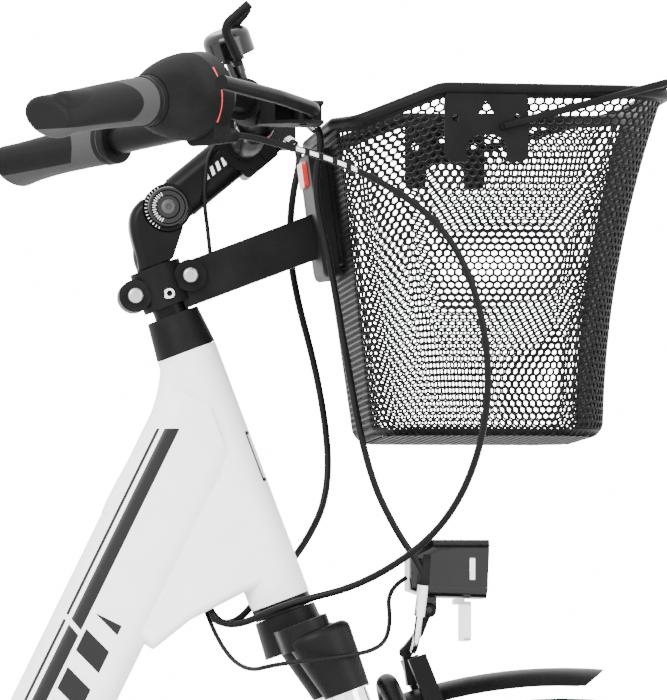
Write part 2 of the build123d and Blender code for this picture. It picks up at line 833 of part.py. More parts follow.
def pedal(side):
    """A block pedal turning on its axle."""
    centre = crank_end(side) + Vector(0, side * (pedal_axle_length / 2 + 5), 0)
    half = pedal_axle_length / 2 - 9
    with BuildPart() as piece:
        with BuildSketch(side_plane(centre, centre.Y)):
            Circle(10)
        extrude(amount=half, both=True)
        with BuildSketch(Plane(origin=centre)):
            RectangleRounded(92, 2 * half, 8)
            RectangleRounded(68, 2 * half - 22, 5, mode=Mode.SUBTRACT)
            Rectangle(20, 2 * half)
        extrude(amount=8, both=True)
        for ahead in (-40, 40):
            with BuildSketch(Plane(origin=centre + Vector(ahead, 0, 0))):
                Rectangle(12, 2 * half - 16)
            extrude(amount=12, both=True)
        with BuildSketch(side_plane(centre, centre.Y)):
            Circle(pedal_thread - 1 + running_gap)
        extrude(amount=pedal_axle_length, both=True, mode=Mode.SUBTRACT)
    return piece.part


right_pedal = pedal(-1)
left_pedal = pedal(1)


# ---------------------------------------------------------------- kickstand
stand_pivot = bracket + Vector(-72, 0, -26)
stand_pin = 5.0
stand_leg = 7.0
stand_heel_side = 25.0
stand_foot_ahead = 30.0
stand_foot_side = 88.0
with BuildPart() as kickstand_bracket:
    with BuildSketch(Plane(origin=stand_pivot + Vector(0, 0, 19), x_dir=(1, 0, 0), z_dir=(0, 0, 1))):
        RectangleRounded(40, 46, 6)
    extrude(amount=12)
    with BuildSketch(side_plane(stand_pivot)):
        Circle(13)
        with Locations((0, 11)):
            Rectangle(26, 22)
    extrude(amount=17, both=True)
    with BuildSketch(side_plane(stand_pivot)):
        Circle(stand_pin + running_gap)
    extrude(amount=20, both=True, mode=Mode.SUBTRACT)

stays_bridge = rod(
    bracket + Vector(-96, -33, 11),
    bracket + Vector(-96, 33, 11),
    7.0,
)
rear_stays = union(
    chainstay(-1), chainstay(1), seatstay(-1), seatstay(1), dropout(-1), dropout(1), stays_bridge,
    kickstand_bracket.part,
) - frame_front.part - rod(seat_top, bracket, seat_tube_radius) \
    - rod(bracket + sideways * shell_half, bracket - sideways * shell_half, shell_radius)

with BuildPart() as stand_heel:
    for side in (-1, 1):
        with BuildSketch(side_plane(stand_pivot, side * stand_heel_side)):
            Circle(12)
        extrude(amount=4, both=True)
stand_legs = []
for side in (-1, 1):
    stand_legs.append(bent_tube([
        stand_pivot + Vector(0, side * stand_heel_side, 0),
        stand_pivot + Vector(6, side * 29, -112),
        Vector(stand_pivot.X + stand_foot_ahead, side * stand_foot_side, stand_leg + 4),
        Vector(stand_pivot.X + stand_foot_ahead - 34, side * (stand_foot_side + 4), stand_leg),
    ], [24, 14], stand_leg))
kickstand_legs = union(
    stand_heel.part, *stand_legs,
    rod(stand_pivot + Vector(0, -26, 0), stand_pivot + Vector(0, 26, 0), stand_pin),
)


# ---------------------------------------------------------------- headset cone and stem
with BuildPart() as headset_cone:
    with BuildSketch(fork_level(head_high + clearance)):
        Circle(head_tube_radius)
    with BuildSketch(fork_level(cone_high)):
        Circle(19)
    loft()
    with BuildSketch(fork_level(head_high - 1)):
        Circle(steerer_radius + running_gap)
    extrude(amount=cone_high - 3.8 - head_high + 1, mode=Mode.SUBTRACT)
    with BuildSketch(fork_level(head_high)):
        Circle(column_radius + running_gap)
    extrude(amount=40, mode=Mode.SUBTRACT)

pivot = fork_spot(pivot_level, pivot_ahead)
bar_mid = fork_spot(bar_level, bar_ahead)
arm_run = bar_mid - pivot
boss_radius = 17.0
boss_half = 10.0
cheek_outer = 17.0
pivot_bolt = 5.0

stem_base_column = bent_tube([
    fork_spot(column_low, 0),
    fork_spot(clamp_level + 26, 0),
    pivot,
], [15], column_radius)
knuckle_low = clamp_level + 16
with BuildPart() as knuckle:
    with BuildSketch(fork_side()):
        with BuildLine():
            Spline((-12.5, knuckle_low), (-9.5, knuckle_low + 17), (-5.5, knuckle_low + 36), (8, knuckle_low + 47))
            Polyline((8, knuckle_low + 47), (pivot_ahead, pivot_level), (pivot_ahead + 7, pivot_level - 15),
                     (14, knuckle_low), (-12.5, knuckle_low))
        make_face()
    extrude(amount=15, both=True)
    fillet(knuckle.edges().filter_by(GeomType.BSPLINE), 6)
    for plane in (side_plane(pivot, -boss_half), left_facing(pivot, boss_half)):
        with BuildSketch(plane):
            Circle(boss_radius + 0.5)
        extrude(amount=20, mode=Mode.SUBTRACT)
with BuildPart() as stem_base:
    add(stem_base_column)
    add(knuckle)
    with BuildSketch(side_plane(pivot)):
        Circle(boss_radius - 0.6)
    extrude(amount=boss_half, both=True)
    for plane in (side_plane(pivot, -boss_half), left_facing(pivot, boss_half)):
        with BuildSketch(plane):
            Circle(boss_radius + 1)
        extrude(amount=20, mode=Mode.SUBTRACT)
    with BuildSketch(side_plane(pivot)):
        Circle(pivot_bolt + running_gap)
    extrude(amount=30, both=True, mode=Mode.SUBTRACT)

bar_clamp_outer = 19.0
plate_reach = 15.0
arm_plane = Plane(origin=pivot, x_dir=arm_run, z_dir=(0, -1, 0))
with BuildPart() as stem_arm:
    with BuildSketch(arm_plane):
        with Locations((arm_run.length / 2, 0)):
            Rectangle(arm_run.length, 2 * boss_radius - 2)
    extrude(amount=cheek_outer, both=True)
    fillet(stem_arm.edges().filter_by(Axis(pivot, arm_run)), 11)
    with BuildSketch(arm_plane):
        Circle(boss_radius)
    extrude(amount=cheek_outer, both=True)
    with BuildSketch(side_plane(bar_mid)):
        Circle(bar_clamp_outer)
    extrude(amount=23, both=True)
    with BuildSketch(arm_plane):
        with Locations((arm_run.length, 0)):
            RectangleRounded(2 * plate_reach, 2 * bar_clamp_outer + 4, 4)
    extrude(amount=21, both=True)
    with BuildSketch(arm_plane):
        Circle(boss_radius + 3)
    extrude(amount=boss_half + 0.3, both=True, mode=Mode.SUBTRACT)
    with BuildSketch(side_plane(bar_mid)):
        Circle(bar_clamp_radius)
    extrude(amount=30, both=True, mode=Mode.SUBTRACT)
    with BuildSketch(side_plane(pivot)):
        Circle(pivot_bolt)
    extrude(amount=30, both=True, mode=Mode.SUBTRACT)
    # the joint line of the face plate
    with BuildSketch(Plane(origin=bar_mid + arm_run.normalized() * 3, x_dir=(0, 1, 0), z_dir=arm_run)):
        Rectangle(60, 60)
    extrude(amount=0.6, mode=Mode.SUBTRACT)

dial_radius = 12.5
arm_across = Vector(-arm_run.Z, 0, arm_run.X).normalized()
arm_unit = arm_run.normalized()
plate_bolts = []
for side in (-1, 1):
    for up in (-1, 1):
        foot = bar_mid + arm_unit * plate_reach + arm_across * up * 16 + sideways * side * 14
        plate_bolts.append(rod(foot, foot + arm_unit * 4, 3.6))
stem_dial = union(
    rod(pivot + Vector(0, -cheek_outer - 4, 0), pivot + Vector(0, cheek_outer + 4, 0), pivot_bolt - 0.01),
    rod(pivot + Vector(0, -cheek_outer - 4, 0), pivot + Vector(0, -cheek_outer, 0), dial_radius),
    rod(pivot + Vector(0, cheek_outer, 0), pivot + Vector(0, cheek_outer + 4, 0), dial_radius),
)
stem_bolts = group(stem_dial, *plate_bolts)


# ---------------------------------------------------------------- handlebar
def bar_spot(ahead, side, up):
    """A point measured from the middle of the handlebar."""
    return bar_mid + Vector(ahead, side, up)


bar_bends = [(0, 60, 0), (3, 112, 16), (-17, 160, 28), (-146, bar_half_width - 6, 6)]
right_side = [bar_spot(a, -s, u) for a, s, u in reversed(bar_bends)]
left_side = [bar_spot(a, s, u) for a, s, u in bar_bends]
handlebar = union(
    bent_tube(right_side + left_side, [60, 60, 60, 60, 60, 60], bar_radius, bar_radius - 2),
    rod(bar_spot(0, -30, 0), bar_spot(0, 30, 0), bar_clamp_radius - 0.01, bar_radius - 2.2),
)

bar_knee = bar_spot(*bar_bends[2])
bar_tip = bar_spot(*bar_bends[3])
bar_end_length = (bar_tip - bar_knee).length
bar_end_run = (bar_tip - bar_knee).normalized()
bar_core = rod(bar_knee, bar_tip, bar_radius + 0.01)
grip_from = 92.0
grip_length = bar_end_length - grip_from + 6
shifter_from = 24.0
twist_from = 50.5
shifter_radius = 30.5


def bar_plane(along):
    """A plane across the left end of the bar, local x towards the rider, local y up."""
    rearward = Vector(0, 0, 1).cross(bar_end_run).normalized()
    return Plane(origin=bar_knee + bar_end_run * along, x_dir=rearward, z_dir=bar_end_run)


with BuildPart() as grip_blank:
    with BuildSketch(bar_plane(grip_from)):
        Circle(grip_radius)
    with BuildSketch(bar_plane(grip_from + grip_length * 0.5)):
        with Locations((2, -1)):
            Ellipse(19.5, 15.5)
    with BuildSketch(bar_plane(grip_from + grip_length)):
        with Locations((7, -5)):
            Ellipse(23, 14, rotation=20)
    loft()
    fillet(grip_blank.faces().sort_by(Axis(bar_knee, bar_end_run))[-1].edges(), 5)
left_grip = grip_blank.part - bar_core
grips = group(left_grip, mirrored(left_grip))

# the shifter sits on the right side; it is drawn on the left and mirrored
with BuildPart() as shifter_blank:
    with BuildSketch(bar_plane(shifter_from)):
        Circle(22)
    with BuildSketch(bar_plane(shifter_from + 12)):
        Circle(shifter_radius)
    loft()
    with BuildSketch(bar_plane(shifter_from + 8)):
        with Locations((-8, -24)):
            RectangleRounded(26, 22, 6)
    extrude(amount=twist_from - 0.4 - shifter_from - 8)
    with BuildSketch(bar_plane(shifter_from + 12)):
        Circle(shifter_radius)
    extrude(amount=twist_from - 0.4 - shifter_from - 12)
    with BuildSketch(bar_plane(shifter_from + 16)):
        with Locations((-12, -30)):
            Circle(5)
    extrude(amount=-22)
shifter_body = mirrored(shifter_blank.part - bar_core)
with BuildPart() as twist_blank:
    with BuildSketch(bar_plane(twist_from)):
        Circle(shifter_radius + 0.3)
    with BuildSketch(bar_plane(twist_from + 18)):
        Circle(shifter_radius - 2.5)
    with BuildSketch(bar_plane(grip_from - clearance)):
        Circle(grip_radius + 1.5)
    loft()
    with BuildSketch(bar_plane(twist_from - 1)):
        Circle(bar_radius + running_gap)
    extrude(amount=60, mode=Mode.SUBTRACT)
twist_grip = mirrored(twist_blank.part)

# brake levers: the left one is drawn and mirrored; the pin stands upright
lever_clamp_run = (bar_knee - bar_spot(*bar_bends[1])).normalized()
lever_clamp_mid = (bar_knee + bar_spot(*bar_bends[1])) * 0.5
lever_pin_radius = 2.5
lever_pin = bar_spot(32, 150, 14)
lever_slot = 5.2
lever_plane = Plane(origin=lever_pin, x_dir=(1, 0, 0), z_dir=(0, 0, 1))
adjuster_from = bar_spot(34, 118, 14)
adjuster_to = bar_spot(44, 109, 6)
adjuster_run = (adjuster_to - adjuster_from).normalized()
lever_core = rod(lever_clamp_mid - lever_clamp_run * 26, lever_clamp_mid + lever_clamp_run * 26, bar_radius + 0.01)
with BuildPart() as mount_blank:
    with BuildSketch(lever_plane.offset(-8)):
        with BuildLine():
            Polyline((-34, -26), (6, -40), (14, -30), (14, 8), (6, 12), (-8, 12), (-30, 0), close=True)
        make_face()
    extrude(amount=16)
    with BuildSketch(lever_plane.offset(-lever_slot - 0.3)):
        with Locations((10, 8)):
            Rectangle(60, 40)
    extrude(amount=2 * lever_slot + 0.6, mode=Mode.SUBTRACT)
    with BuildSketch(Plane(origin=lever_clamp_mid - lever_clamp_run * 8, z_dir=lever_clamp_run)):
        Circle(15.5)
    extrude(amount=16)
    add(rod(adjuster_from - adjuster_run * 4, adjuster_to, 4.5, 1.0))
    with BuildSketch(lever_plane.offset(-20)):
        Circle(lever_pin_radius)
    extrude(amount=40, mode=Mode.SUBTRACT)
left_mount = mount_blank.part - lever_core
lever_mounts = group(left_mount, mirrored(left_mount))
with BuildPart() as lever_eye:
    with BuildSketch(lever_plane.offset(-lever_slot)):
        Circle(7.5)
    extrude(amount=2 * lever_slot)
lever_blade = union(
    lever_eye.part,
    bent_tube([
        lever_pin + Vector(4, 4, 0), lever_pin + Vector(6, 26, 1), lever_pin + Vector(-22, 76, 6),
        lever_pin + Vector(-66, 136, 12),
    ], [30, 80], 5.1),
    rod(lever_pin - Vector(0, 0, 9), lever_pin + Vector(0, 0, 9), lever_pin_radius - running_gap),
)
left_brake_lever = lever_blade
right_brake_lever = mirrored(lever_blade)

# bell on the right side
bell_foot = bar_spot(2, -92, 10)
bell_dome_at = bar_spot(-15, -104, 57)
bell_axis = Vector(-0.35, -0.2, 1).normalized()
bell_plane = Plane(origin=bell_dome_at, x_dir=(0, 1, 0), z_dir=bell_axis)
bell_run = (bar_spot(3, -112, 16) - bar_spot(0, -60, 0)).normalized()
with BuildPart() as bell_blank:
    with BuildSketch(Plane(origin=bell_foot - bell_run * 5, z_dir=bell_run)):
        Circle(bar_radius + 3)
    extrude(amount=10)
    add(rod(bell_foot, bell_dome_at - bell_axis * 10, 5.5))
    add(rod(bell_dome_at - bell_axis * 13, bell_dome_at + bell_axis, 6))
    with BuildSketch(bell_plane):
        Circle(17)
    extrude(amount=19)
    fillet(bell_blank.faces().sort_by(Axis(bell_dome_at, bell_axis))[-1].edges(), 7)
bell_body = bell_blank.part - rod(bell_foot - bell_run * 26, bell_foot + bell_run * 26, bar_radius + 0.01)
bell_pin = bell_dome_at - bell_axis * 4
with BuildPart() as bell_lever:
    with BuildSketch(Plane(origin=bell_pin, x_dir=(0, 1, 0), z_dir=bell_axis)):
        Circle(8)
        with Locations((-16, 0)):
            RectangleRounded(32, 7, 3)
        Circle(6 + running_gap, mode=Mode.SUBTRACT)
    extrude(amount=3)
    add(bent_tube([
        bell_pin + Vector(2, -26, -1), bell_pin + Vector(-9, -29, 22), bell_pin + Vector(9, -33, 38),
    ], [9], 3.4))


# ---------------------------------------------------------------- basket and its holder
basket_low = 884.0
basket_middle = 994.0
basket_top = 1126.0
basket_low_mid = 514.5
basket_middle_mid = 511.0
basket_top_mid = 518.0
basket_low_size = (165.0, 240.0)
basket_middle_size = (187.0, 280.0)
basket_top_size = (236.0, 336.0)
basket_wall = 2.0
basket_rear_top = basket_top_mid - basket_top_size[0] / 2
basket_rear_low = basket_low_mid - basket_low_size[0] / 2
wall_lean = (basket_rear_low - basket_rear_top) / (basket_top - basket_low)
wall_up = Vector(-wall_lean, 0, 1).normalized()
wall_back = Vector(-1, 0, -wall_lean).normalized()


def basket_block(inset, low):
    """The tapering block the basket is cut from, set in from its outside."""
    with BuildPart() as piece:
        with BuildSketch(Plane(origin=(basket_low_mid, 0, low))):
            RectangleRounded(basket_low_size[0] - 2 * inset, basket_low_size[1] - 2 * inset, 38)
        with BuildSketch(Plane(origin=(basket_middle_mid, 0, basket_middle))):
            RectangleRounded(basket_middle_size[0] - 2 * inset, basket_middle_size[1] - 2 * inset, 41)
        with BuildSketch(Plane(origin=(basket_top_mid, 0, basket_top))):
            RectangleRounded(basket_top_size[0] - 2 * inset, basket_top_size[1] - 2 * inset, 46)
        loft()
    return piece.part


rear_rim_level = 1103.0
rim_tube = 4.0
side_rim_ahead = 475.0
rim_half = basket_top_size[1] / 2 + 1
rim_front = basket_top_mid + basket_top_size[0] / 2 + 1
under_rim = rim_tube + 0.2
with BuildPart() as rim_cut:
    with BuildSketch(Plane.XZ):
        with BuildLine():
            Polyline((basket_rear_top - 20, rear_rim_level - under_rim),
                     (basket_rear_top + 20, rear_rim_level - under_rim),
                     (side_rim_ahead, basket_top - under_rim - 1), (rim_front + 20, basket_top - under_rim - 2),
                     (rim_front + 20, basket_top + 30), (basket_rear_top - 20, basket_top + 30), close=True)
        make_face()
    extrude(amount=200, both=True)
rim_points = [
    (rim_front, 0, basket_top - 2), (rim_front, rim_half, basket_top - 2),
    (side_rim_ahead, rim_half, basket_top), (basket_rear_top + 16, rim_half - 8, rear_rim_level),
    (basket_rear_top + 2, rim_half - 42, rear_rim_level), (basket_rear_top + 2, 0, rear_rim_level),
]
half_rim = bent_tube(rim_points, [44, 30, 16, 18], rim_tube)
plate_mid = Vector(506, 0, 1099)
plate_size = (59.0, 50.0)
plate_side = rim_half
with BuildPart() as handle_plate:
    with BuildSketch(side_plane(plate_mid, -plate_side)):
        RectangleRounded(plate_size[0], plate_size[1], 6)
        with Locations((0, -plate_size[1] / 2 + 6)):
            RectangleRounded(28, 26, 10, mode=Mode.SUBTRACT)
        with Locations((-22, 6), (22, 6)):
            Circle(2.6, mode=Mode.SUBTRACT)
        with Locations((0, 12)):
            RegularPolygon(6, 3, rotation=90, mode=Mode.SUBTRACT)
    extrude(amount=1.5, both=True)
bail_wire = 2.6
bail_pivot = plate_mid + Vector(12, 0, 0)
bail_pin = bail_wire
with BuildPart() as pin_hole:
    with BuildSketch(side_plane(bail_pivot)):
        Circle(bail_pin + running_gap)
    extrude(amount=300, both=True)
back_plate_mid = Vector(basket_rear_top + wall_lean * (basket_top - 1050), 0, 1050)
back_plane = Plane(origin=back_plate_mid, x_dir=(0, 1, 0), z_dir=wall_back)
with BuildPart() as back_plate:
    with BuildSketch(back_plane):
        RectangleRounded(100, 84, 8)
    extrude(amount=3)
basket_frame_solid = union(half_rim, mirrored(half_rim), handle_plate.part, mirrored(handle_plate.part))
basket_frame = group(basket_frame_solid - pin_hole.part, back_plate.part)
basket_shell = basket_block(0, basket_low) - basket_block(basket_wall, basket_low + basket_wall) - rim_cut.part

bail_side = rim_half + rim_tube + bail_wire + clearance
bail_front = Vector(rim_front - 1, 0, basket_top - 2 + rim_tube + bail_wire + clearance)
bail = bent_tube([
    bail_pivot + Vector(0, -bail_side, 0), Vector(bail_front.X, -bail_side, bail_front.Z),
    Vector(bail_front.X, bail_side, bail_front.Z), bail_pivot + Vector(0, bail_side, 0),
], [12, 12], bail_wire)
bail_pins = [
    rod(bail_pivot + Vector(0, side * bail_side, 0), bail_pivot + Vector(0, side * (plate_side - 3), 0), bail_pin)
    for side in (-1, 1)
]
basket_handle = union(bail, *bail_pins)

adapter_half = 50.0
adapter_plane = back_plane.offset(3 + clearance)
with BuildPart() as adapter_blank:
    with BuildSketch(adapter_plane):
        with Locations((0, 4)):
            RectangleRounded(2 * adapter_half, 92, 12)
    extrude(amount=12)
    fillet(adapter_blank.faces().sort_by(Axis(adapter_plane.origin, wall_back))[-1].edges(), 4)
    with BuildSketch(adapter_plane.offset(4)):
        with Locations((0, -26)):
            RectangleRounded(44.6, 18.6, 3)
    extrude(amount=10, mode=Mode.SUBTRACT)
adapter_plate = adapter_blank.part
with BuildPart() as release_button:
    with BuildSketch(adapter_plane.offset(8.5)):
        with Locations((0, -26)):
            RectangleRounded(44, 18, 3)
    extrude(amount=7)

bracket_level = clamp_level
lobe_reach = 21.0
with BuildPart() as holder_blank:
    with BuildSketch(fork_level(bracket_level - 15)):
        Circle(18.5)
    extrude(amount=30)
    with BuildSketch(fork_side()):
        with Locations((-lobe_reach, bracket_level), (lobe_reach, bracket_level)):
            Circle(11.5)
    extrude(amount=15, both=True)
    with BuildSketch(fork_side()):
        with Locations((66, bracket_level - 5)):
            Rectangle(112, 31)
    extrude(amount=11, both=True)
    with BuildSketch(fork_level(bracket_level - 25)):
        Circle(column_radius + running_gap)
    extrude(amount=50, mode=Mode.SUBTRACT)
    with BuildSketch(fork_level(bracket_level - 40)):
        with Locations((-20, 0)):
            Rectangle(40, 1.2)
    extrude(amount=60, mode=Mode.SUBTRACT)
    with BuildSketch(Plane(origin=adapter_plane.offset(12).origin, x_dir=(0, 1, 0), z_dir=wall_back * -1)):
        Rectangle(200, 300)
    extrude(amount=60, mode=Mode.SUBTRACT)
basket_holder = holder_blank.part
holder_bolts = group(*[
    solid for reach in (-lobe_reach, lobe_reach) for solid in (
        rod(fork_spot(bracket_level, reach, -15), fork_spot(bracket_level, reach, -20), 5.5),
        rod(fork_spot(bracket_level, reach, 15), fork_spot(bracket_level, reach, 20), 5.5),
    )
])


# ---------------------------------------------------------------- headlight
lamp_pivot = Vector(479, 0, 763)
lamp_half = 30.0
lamp_low = 771.0
lamp_high = 813.0
lamp_back = 464.0
lamp_front = 521.0
strap_half = 7.0
with BuildPart() as lamp_strap:
    with BuildSketch(Plane.XZ):
        with BuildLine():
            Polyline((lamp_pivot.X - 15, lamp_pivot.Z - 54), (lamp_pivot.X - 19, lamp_pivot.Z - 28),
                     (lamp_pivot.X - 8, lamp_pivot.Z - 14), (lamp_pivot.X - 3, lamp_pivot.Z),
                     (lamp_pivot.X + 3, lamp_pivot.Z), (lamp_pivot.X - 4, lamp_pivot.Z - 18),
                     (lamp_pivot.X - 15, lamp_pivot.Z - 31), (lamp_pivot.X - 11, lamp_pivot.Z - 54), close=True)
        make_face()
    extrude(amount=strap_half, both=True)
    with BuildSketch(side_plane(lamp_pivot)):
        Circle(5.5)
    extrude(amount=strap_half, both=True)
    with BuildSketch(side_plane(lamp_pivot)):
        Circle(2.5 + running_gap)
    extrude(amount=20, both=True, mode=Mode.SUBTRACT)
lamp_bracket = lamp_strap.part - fork_lowers
with BuildPart() as lamp_blank:
    with BuildSketch(Plane.XZ):
        with BuildLine():
            Polyline((lamp_back, lamp_low + 6), (lamp_back, lamp_high - 9), (lamp_back + 16, lamp_high),
                     (lamp_front, lamp_high), (lamp_front - 2, lamp_low), (lamp_back + 14, lamp_low + 1), close=True)
        make_face()
    extrude(amount=lamp_half, both=True)
    fillet(lamp_blank.faces().filter_by(Axis.Y).edges().filter_by(lambda e: e.center().X < lamp_front - 5), 9)
    for side in (-1, 1):
        with BuildSketch(side_plane(lamp_pivot, side * (strap_half + 0.3 + 1.5))):
            Circle(5.5)
            with Locations((0, 6)):
                Rectangle(11, 12)
        extrude(amount=1.5, both=True)
    with BuildSketch(side_plane(lamp_pivot)):
        Circle(2.5)
    extrude(amount=strap_half + 6, both=True)
    # seat of the lens
    with BuildSketch(Plane(origin=(lamp_front + 1, 0, (lamp_low + lamp_high) / 2), x_dir=(0, 1, 0), z_dir=(-1, 0, 0))):
        RectangleRounded(2 * lamp_half - 8, lamp_high - lamp_low - 9, 7)
    extrude(amount=7, mode=Mode.SUBTRACT)
headlight_body = lamp_blank.part
with BuildPart() as headlight_lens:
    with BuildSketch(Plane(origin=(lamp_front - 6, 0, (lamp_low + lamp_high) / 2), x_dir=(0, 1, 0), z_dir=(1, 0, 0))):
        RectangleRounded(2 * lamp_half - 8.2, lamp_high - lamp_low - 9.2, 7)
    extrude(amount=5)
with BuildPart() as front_reflector:
    with BuildSketch(Plane(origin=(lamp_front - 18, 0, lamp_low - 16), x_dir=(0, 1, 0), z_dir=(1, 0, 0))):
        RectangleRounded(52, 28, 5)
    extrude(amount=5)
    with BuildSketch(Plane(origin=(lamp_front - 20, 0, lamp_low - 4), x_dir=(1, 0, 0), z_dir=(0, 0, 1))):
        Rectangle(8, 14)
    extrude(amount=4)


# ---------------------------------------------------------------- front rim brake
arm_back = boss_ahead + 0.3
arm_tip_level = fender_radius + 21
arm_tip_side = 31.0
pad_level = rim_radius - 12
pad_gap = 1.5


def brake_arm(side):
    """One arm of the rim brake with its block, turning on the stud of the lower leg."""
    with BuildPart() as piece:
        with BuildSketch(fork_front(arm_back)):
            with BuildLine():
                Polyline((side * (boss_side - 7), boss_level - 8), (side * (boss_side + 7), boss_level - 8),
                         (side * (boss_side + 8), boss_level + 30), (side * (arm_tip_side + 7), arm_tip_level),
                         (side * (arm_tip_side - 3), arm_tip_level), (side * (boss_side - 8), boss_level + 30),
                         close=True)
            make_face()
        extrude(amount=arm_thickness)
        with BuildSketch(fork_front(arm_back)):
            with Locations((side * boss_side, boss_level)):
                Circle(10)
        extrude(amount=arm_thickness)
        with BuildSketch(fork_front(arm_back - 22)):
            with Locations((side * (rim_width / 2 + pad_gap + 5), pad_level)):
                Rectangle(10, 8)
        extrude(amount=40)
        with BuildSketch(fork_side()):
            with Locations((arm_back + arm_thickness / 2, pad_level)):
                Circle(4)
        extrude(amount=-side * (boss_side - 2), mode=Mode.ADD)
        with BuildSketch(fork_side()):
            with Locations((arm_back + arm_thickness / 2, pad_level)):
                Circle(20)
        extrude(amount=-side * (rim_width / 2 + pad_gap), mode=Mode.SUBTRACT)
        with BuildSketch(fork_front(arm_back - 1)):
            with Locations((side * boss_side, boss_level)):
                Circle(stud_radius + running_gap)
        extrude(amount=60, mode=Mode.SUBTRACT)
    return piece.part


left_brake_arm = brake_arm(1)
right_brake_arm = brake_arm(-1)
noodle_ahead = arm_back + arm_thickness / 2
noodle_level = arm_tip_level + 5
noodle_top = Vector(471, -45, 772)
noodle_foot = fork_spot(noodle_level, noodle_ahead, -39)
noodle_run = (noodle_top - noodle_foot).normalized()
noodle = union(
    bent_tube([noodle_top, noodle_foot, fork_spot(noodle_level, noodle_ahead, -12)], [16], 2.6),
    rod(noodle_top + noodle_run * 9, noodle_top - noodle_run * 14, 3.9),
)


# ---------------------------------------------------------------- lines
shift_cable = cable("shift cable", [
    mirrored_spot(bar_plane(shifter_from - 6.3).from_local_coords(Vector(-12, -30, 0))),
    mirrored_spot(bar_plane(shifter_from - 20).from_local_coords(Vector(-12, -30, 0))),
    Vector(424, -188, 1066), Vector(488, -188, 1018), Vector(512, -180, 920), Vector(492, -130, 830),
    Vector(436, -66, 782), Vector(372, -46, 766), Vector(342, -28, 751), Vector(325, -10, 755),
    Vector(320, -9, 770),
], 2.5)
front_brake_cable = cable("front brake cable", [
    mirrored_spot(adjuster_to + adjuster_run * 0.3), mirrored_spot(adjuster_to + adjuster_run * 9),
    Vector(390, -96, 1060), Vector(402, -88, 1010), Vector(412, -80, 955),
    Vector(430, -66, 862), Vector(452, -52, 818), noodle_top + noodle_run * 18, noodle_top + noodle_run * 9.2,
], 2.5)
rear_brake_cable = cable("rear brake cable", [
    adjuster_to + adjuster_run * 0.3, adjuster_to + adjuster_run * 9,
    Vector(386, 72, 1060), Vector(384, 64, 1010), Vector(408, 60, 920),
    Vector(414, 56, 850), Vector(392, 42, 806), Vector(364, 34, 778), Vector(344, 24, 753), Vector(324, 9, 755),
    Vector(319, 8, 770),
], 2.5)
wiring_lead = cable("wiring lead", [
    Vector(318, 0, 769), Vector(326, -14, 742), Vector(344, -52, 718), Vector(366, -84, 724),
    Vector(404, -86, 728), Vector(440, -70, 734), Vector(450, -34, 752), Vector(448, -20, 778), Vector(462.4, -17, 786),
], 1.6)


# ---------------------------------------------------------------- files
nodes = {
    "frame_front": frame_front.part, "rear_stays": rear_stays, "rear_fender": rear_fender,
    "rear_carrier": rear_carrier, "rear_light": rear_light.part, "chain_guard": chain_guard.part,
    "chain": chain.part, "seat_clamp": seat_clamp.part,
    "bearings_and_axle": bearings_and_axle, "seat_clamp_lever": seat_clamp_lever.part, "seatpost": seatpost,
    "saddle": saddle.part, "crankset": crankset, "right_pedal": right_pedal,
    "left_pedal": left_pedal, "sprocket": sprocket, "rear_tyre": rear_tyre, "rear_rim": rear_rim,
    "rear_spokes": rear_spokes, "rear_hub": rear_hub, "kickstand_legs": kickstand_legs,
    "fork_upper": fork_upper.part, "headset_cone": headset_cone.part, "stem_base": stem_base.part,
    "stem_arm": stem_arm.part, "stem_bolts": stem_bolts, "handlebar": handlebar, "grips": grips,
    "brake_lever_mounts": lever_mounts, "shifter_body": shifter_body, "twist_grip": twist_grip,
    "right_brake_lever": right_brake_lever, "left_brake_lever": left_brake_lever, "bell_body": bell_body,
    "bell_lever": bell_lever.part, "basket_holder": basket_holder, "holder_bolts": holder_bolts,
    "adapter_plate": adapter_plate, "release_button": release_button.part, "basket_shell": basket_shell,
    "basket_frame": basket_frame, "basket_handle": basket_handle, "fork_lowers": fork_lowers,
    "front_fender": front_fender, "lamp_bracket": lamp_bracket, "headlight_body": headlight_body,
    "headlight_lens": headlight_lens.part, "front_reflector": front_reflector.part,
    "right_brake_arm": right_brake_arm, "left_brake_arm": left_brake_arm, "brake_noodle": noodle,
    "front_axle": front_axle_rod, "front_tyre": front_tyre, "front_rim": front_rim,
    "front_spokes": front_spokes, "front_hub": front_hub, "shift_cable": shift_cable,
    "front_brake_cable": front_brake_cable, "rear_brake_cable": rear_brake_cable, "wiring_lead": wiring_lead,
}
for name, solid in nodes.items():
    solid.label = name
    export_step(solid, f"parts/{name}.step")
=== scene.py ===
"""Looks of the low-step city bicycle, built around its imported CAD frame. Metres, in the row frame."""

import math

import bpy
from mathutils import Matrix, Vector


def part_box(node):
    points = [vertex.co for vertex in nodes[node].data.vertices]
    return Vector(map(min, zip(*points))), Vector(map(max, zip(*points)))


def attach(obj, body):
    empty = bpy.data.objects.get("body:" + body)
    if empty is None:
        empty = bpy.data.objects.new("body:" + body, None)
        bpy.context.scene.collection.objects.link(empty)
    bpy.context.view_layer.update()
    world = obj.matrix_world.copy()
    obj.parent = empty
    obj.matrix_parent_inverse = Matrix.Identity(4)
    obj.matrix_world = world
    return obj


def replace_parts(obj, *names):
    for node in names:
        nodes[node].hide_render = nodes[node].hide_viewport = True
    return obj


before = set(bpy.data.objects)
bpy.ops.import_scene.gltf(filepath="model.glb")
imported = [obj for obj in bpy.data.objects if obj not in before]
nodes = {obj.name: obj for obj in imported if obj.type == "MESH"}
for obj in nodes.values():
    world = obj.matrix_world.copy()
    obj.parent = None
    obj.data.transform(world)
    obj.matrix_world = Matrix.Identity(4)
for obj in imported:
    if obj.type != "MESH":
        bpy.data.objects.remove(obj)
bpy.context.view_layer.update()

# ------------------------------------------------------------------ camera
CAMERA_AT = Vector((-0.113, -7.0, 0.670))
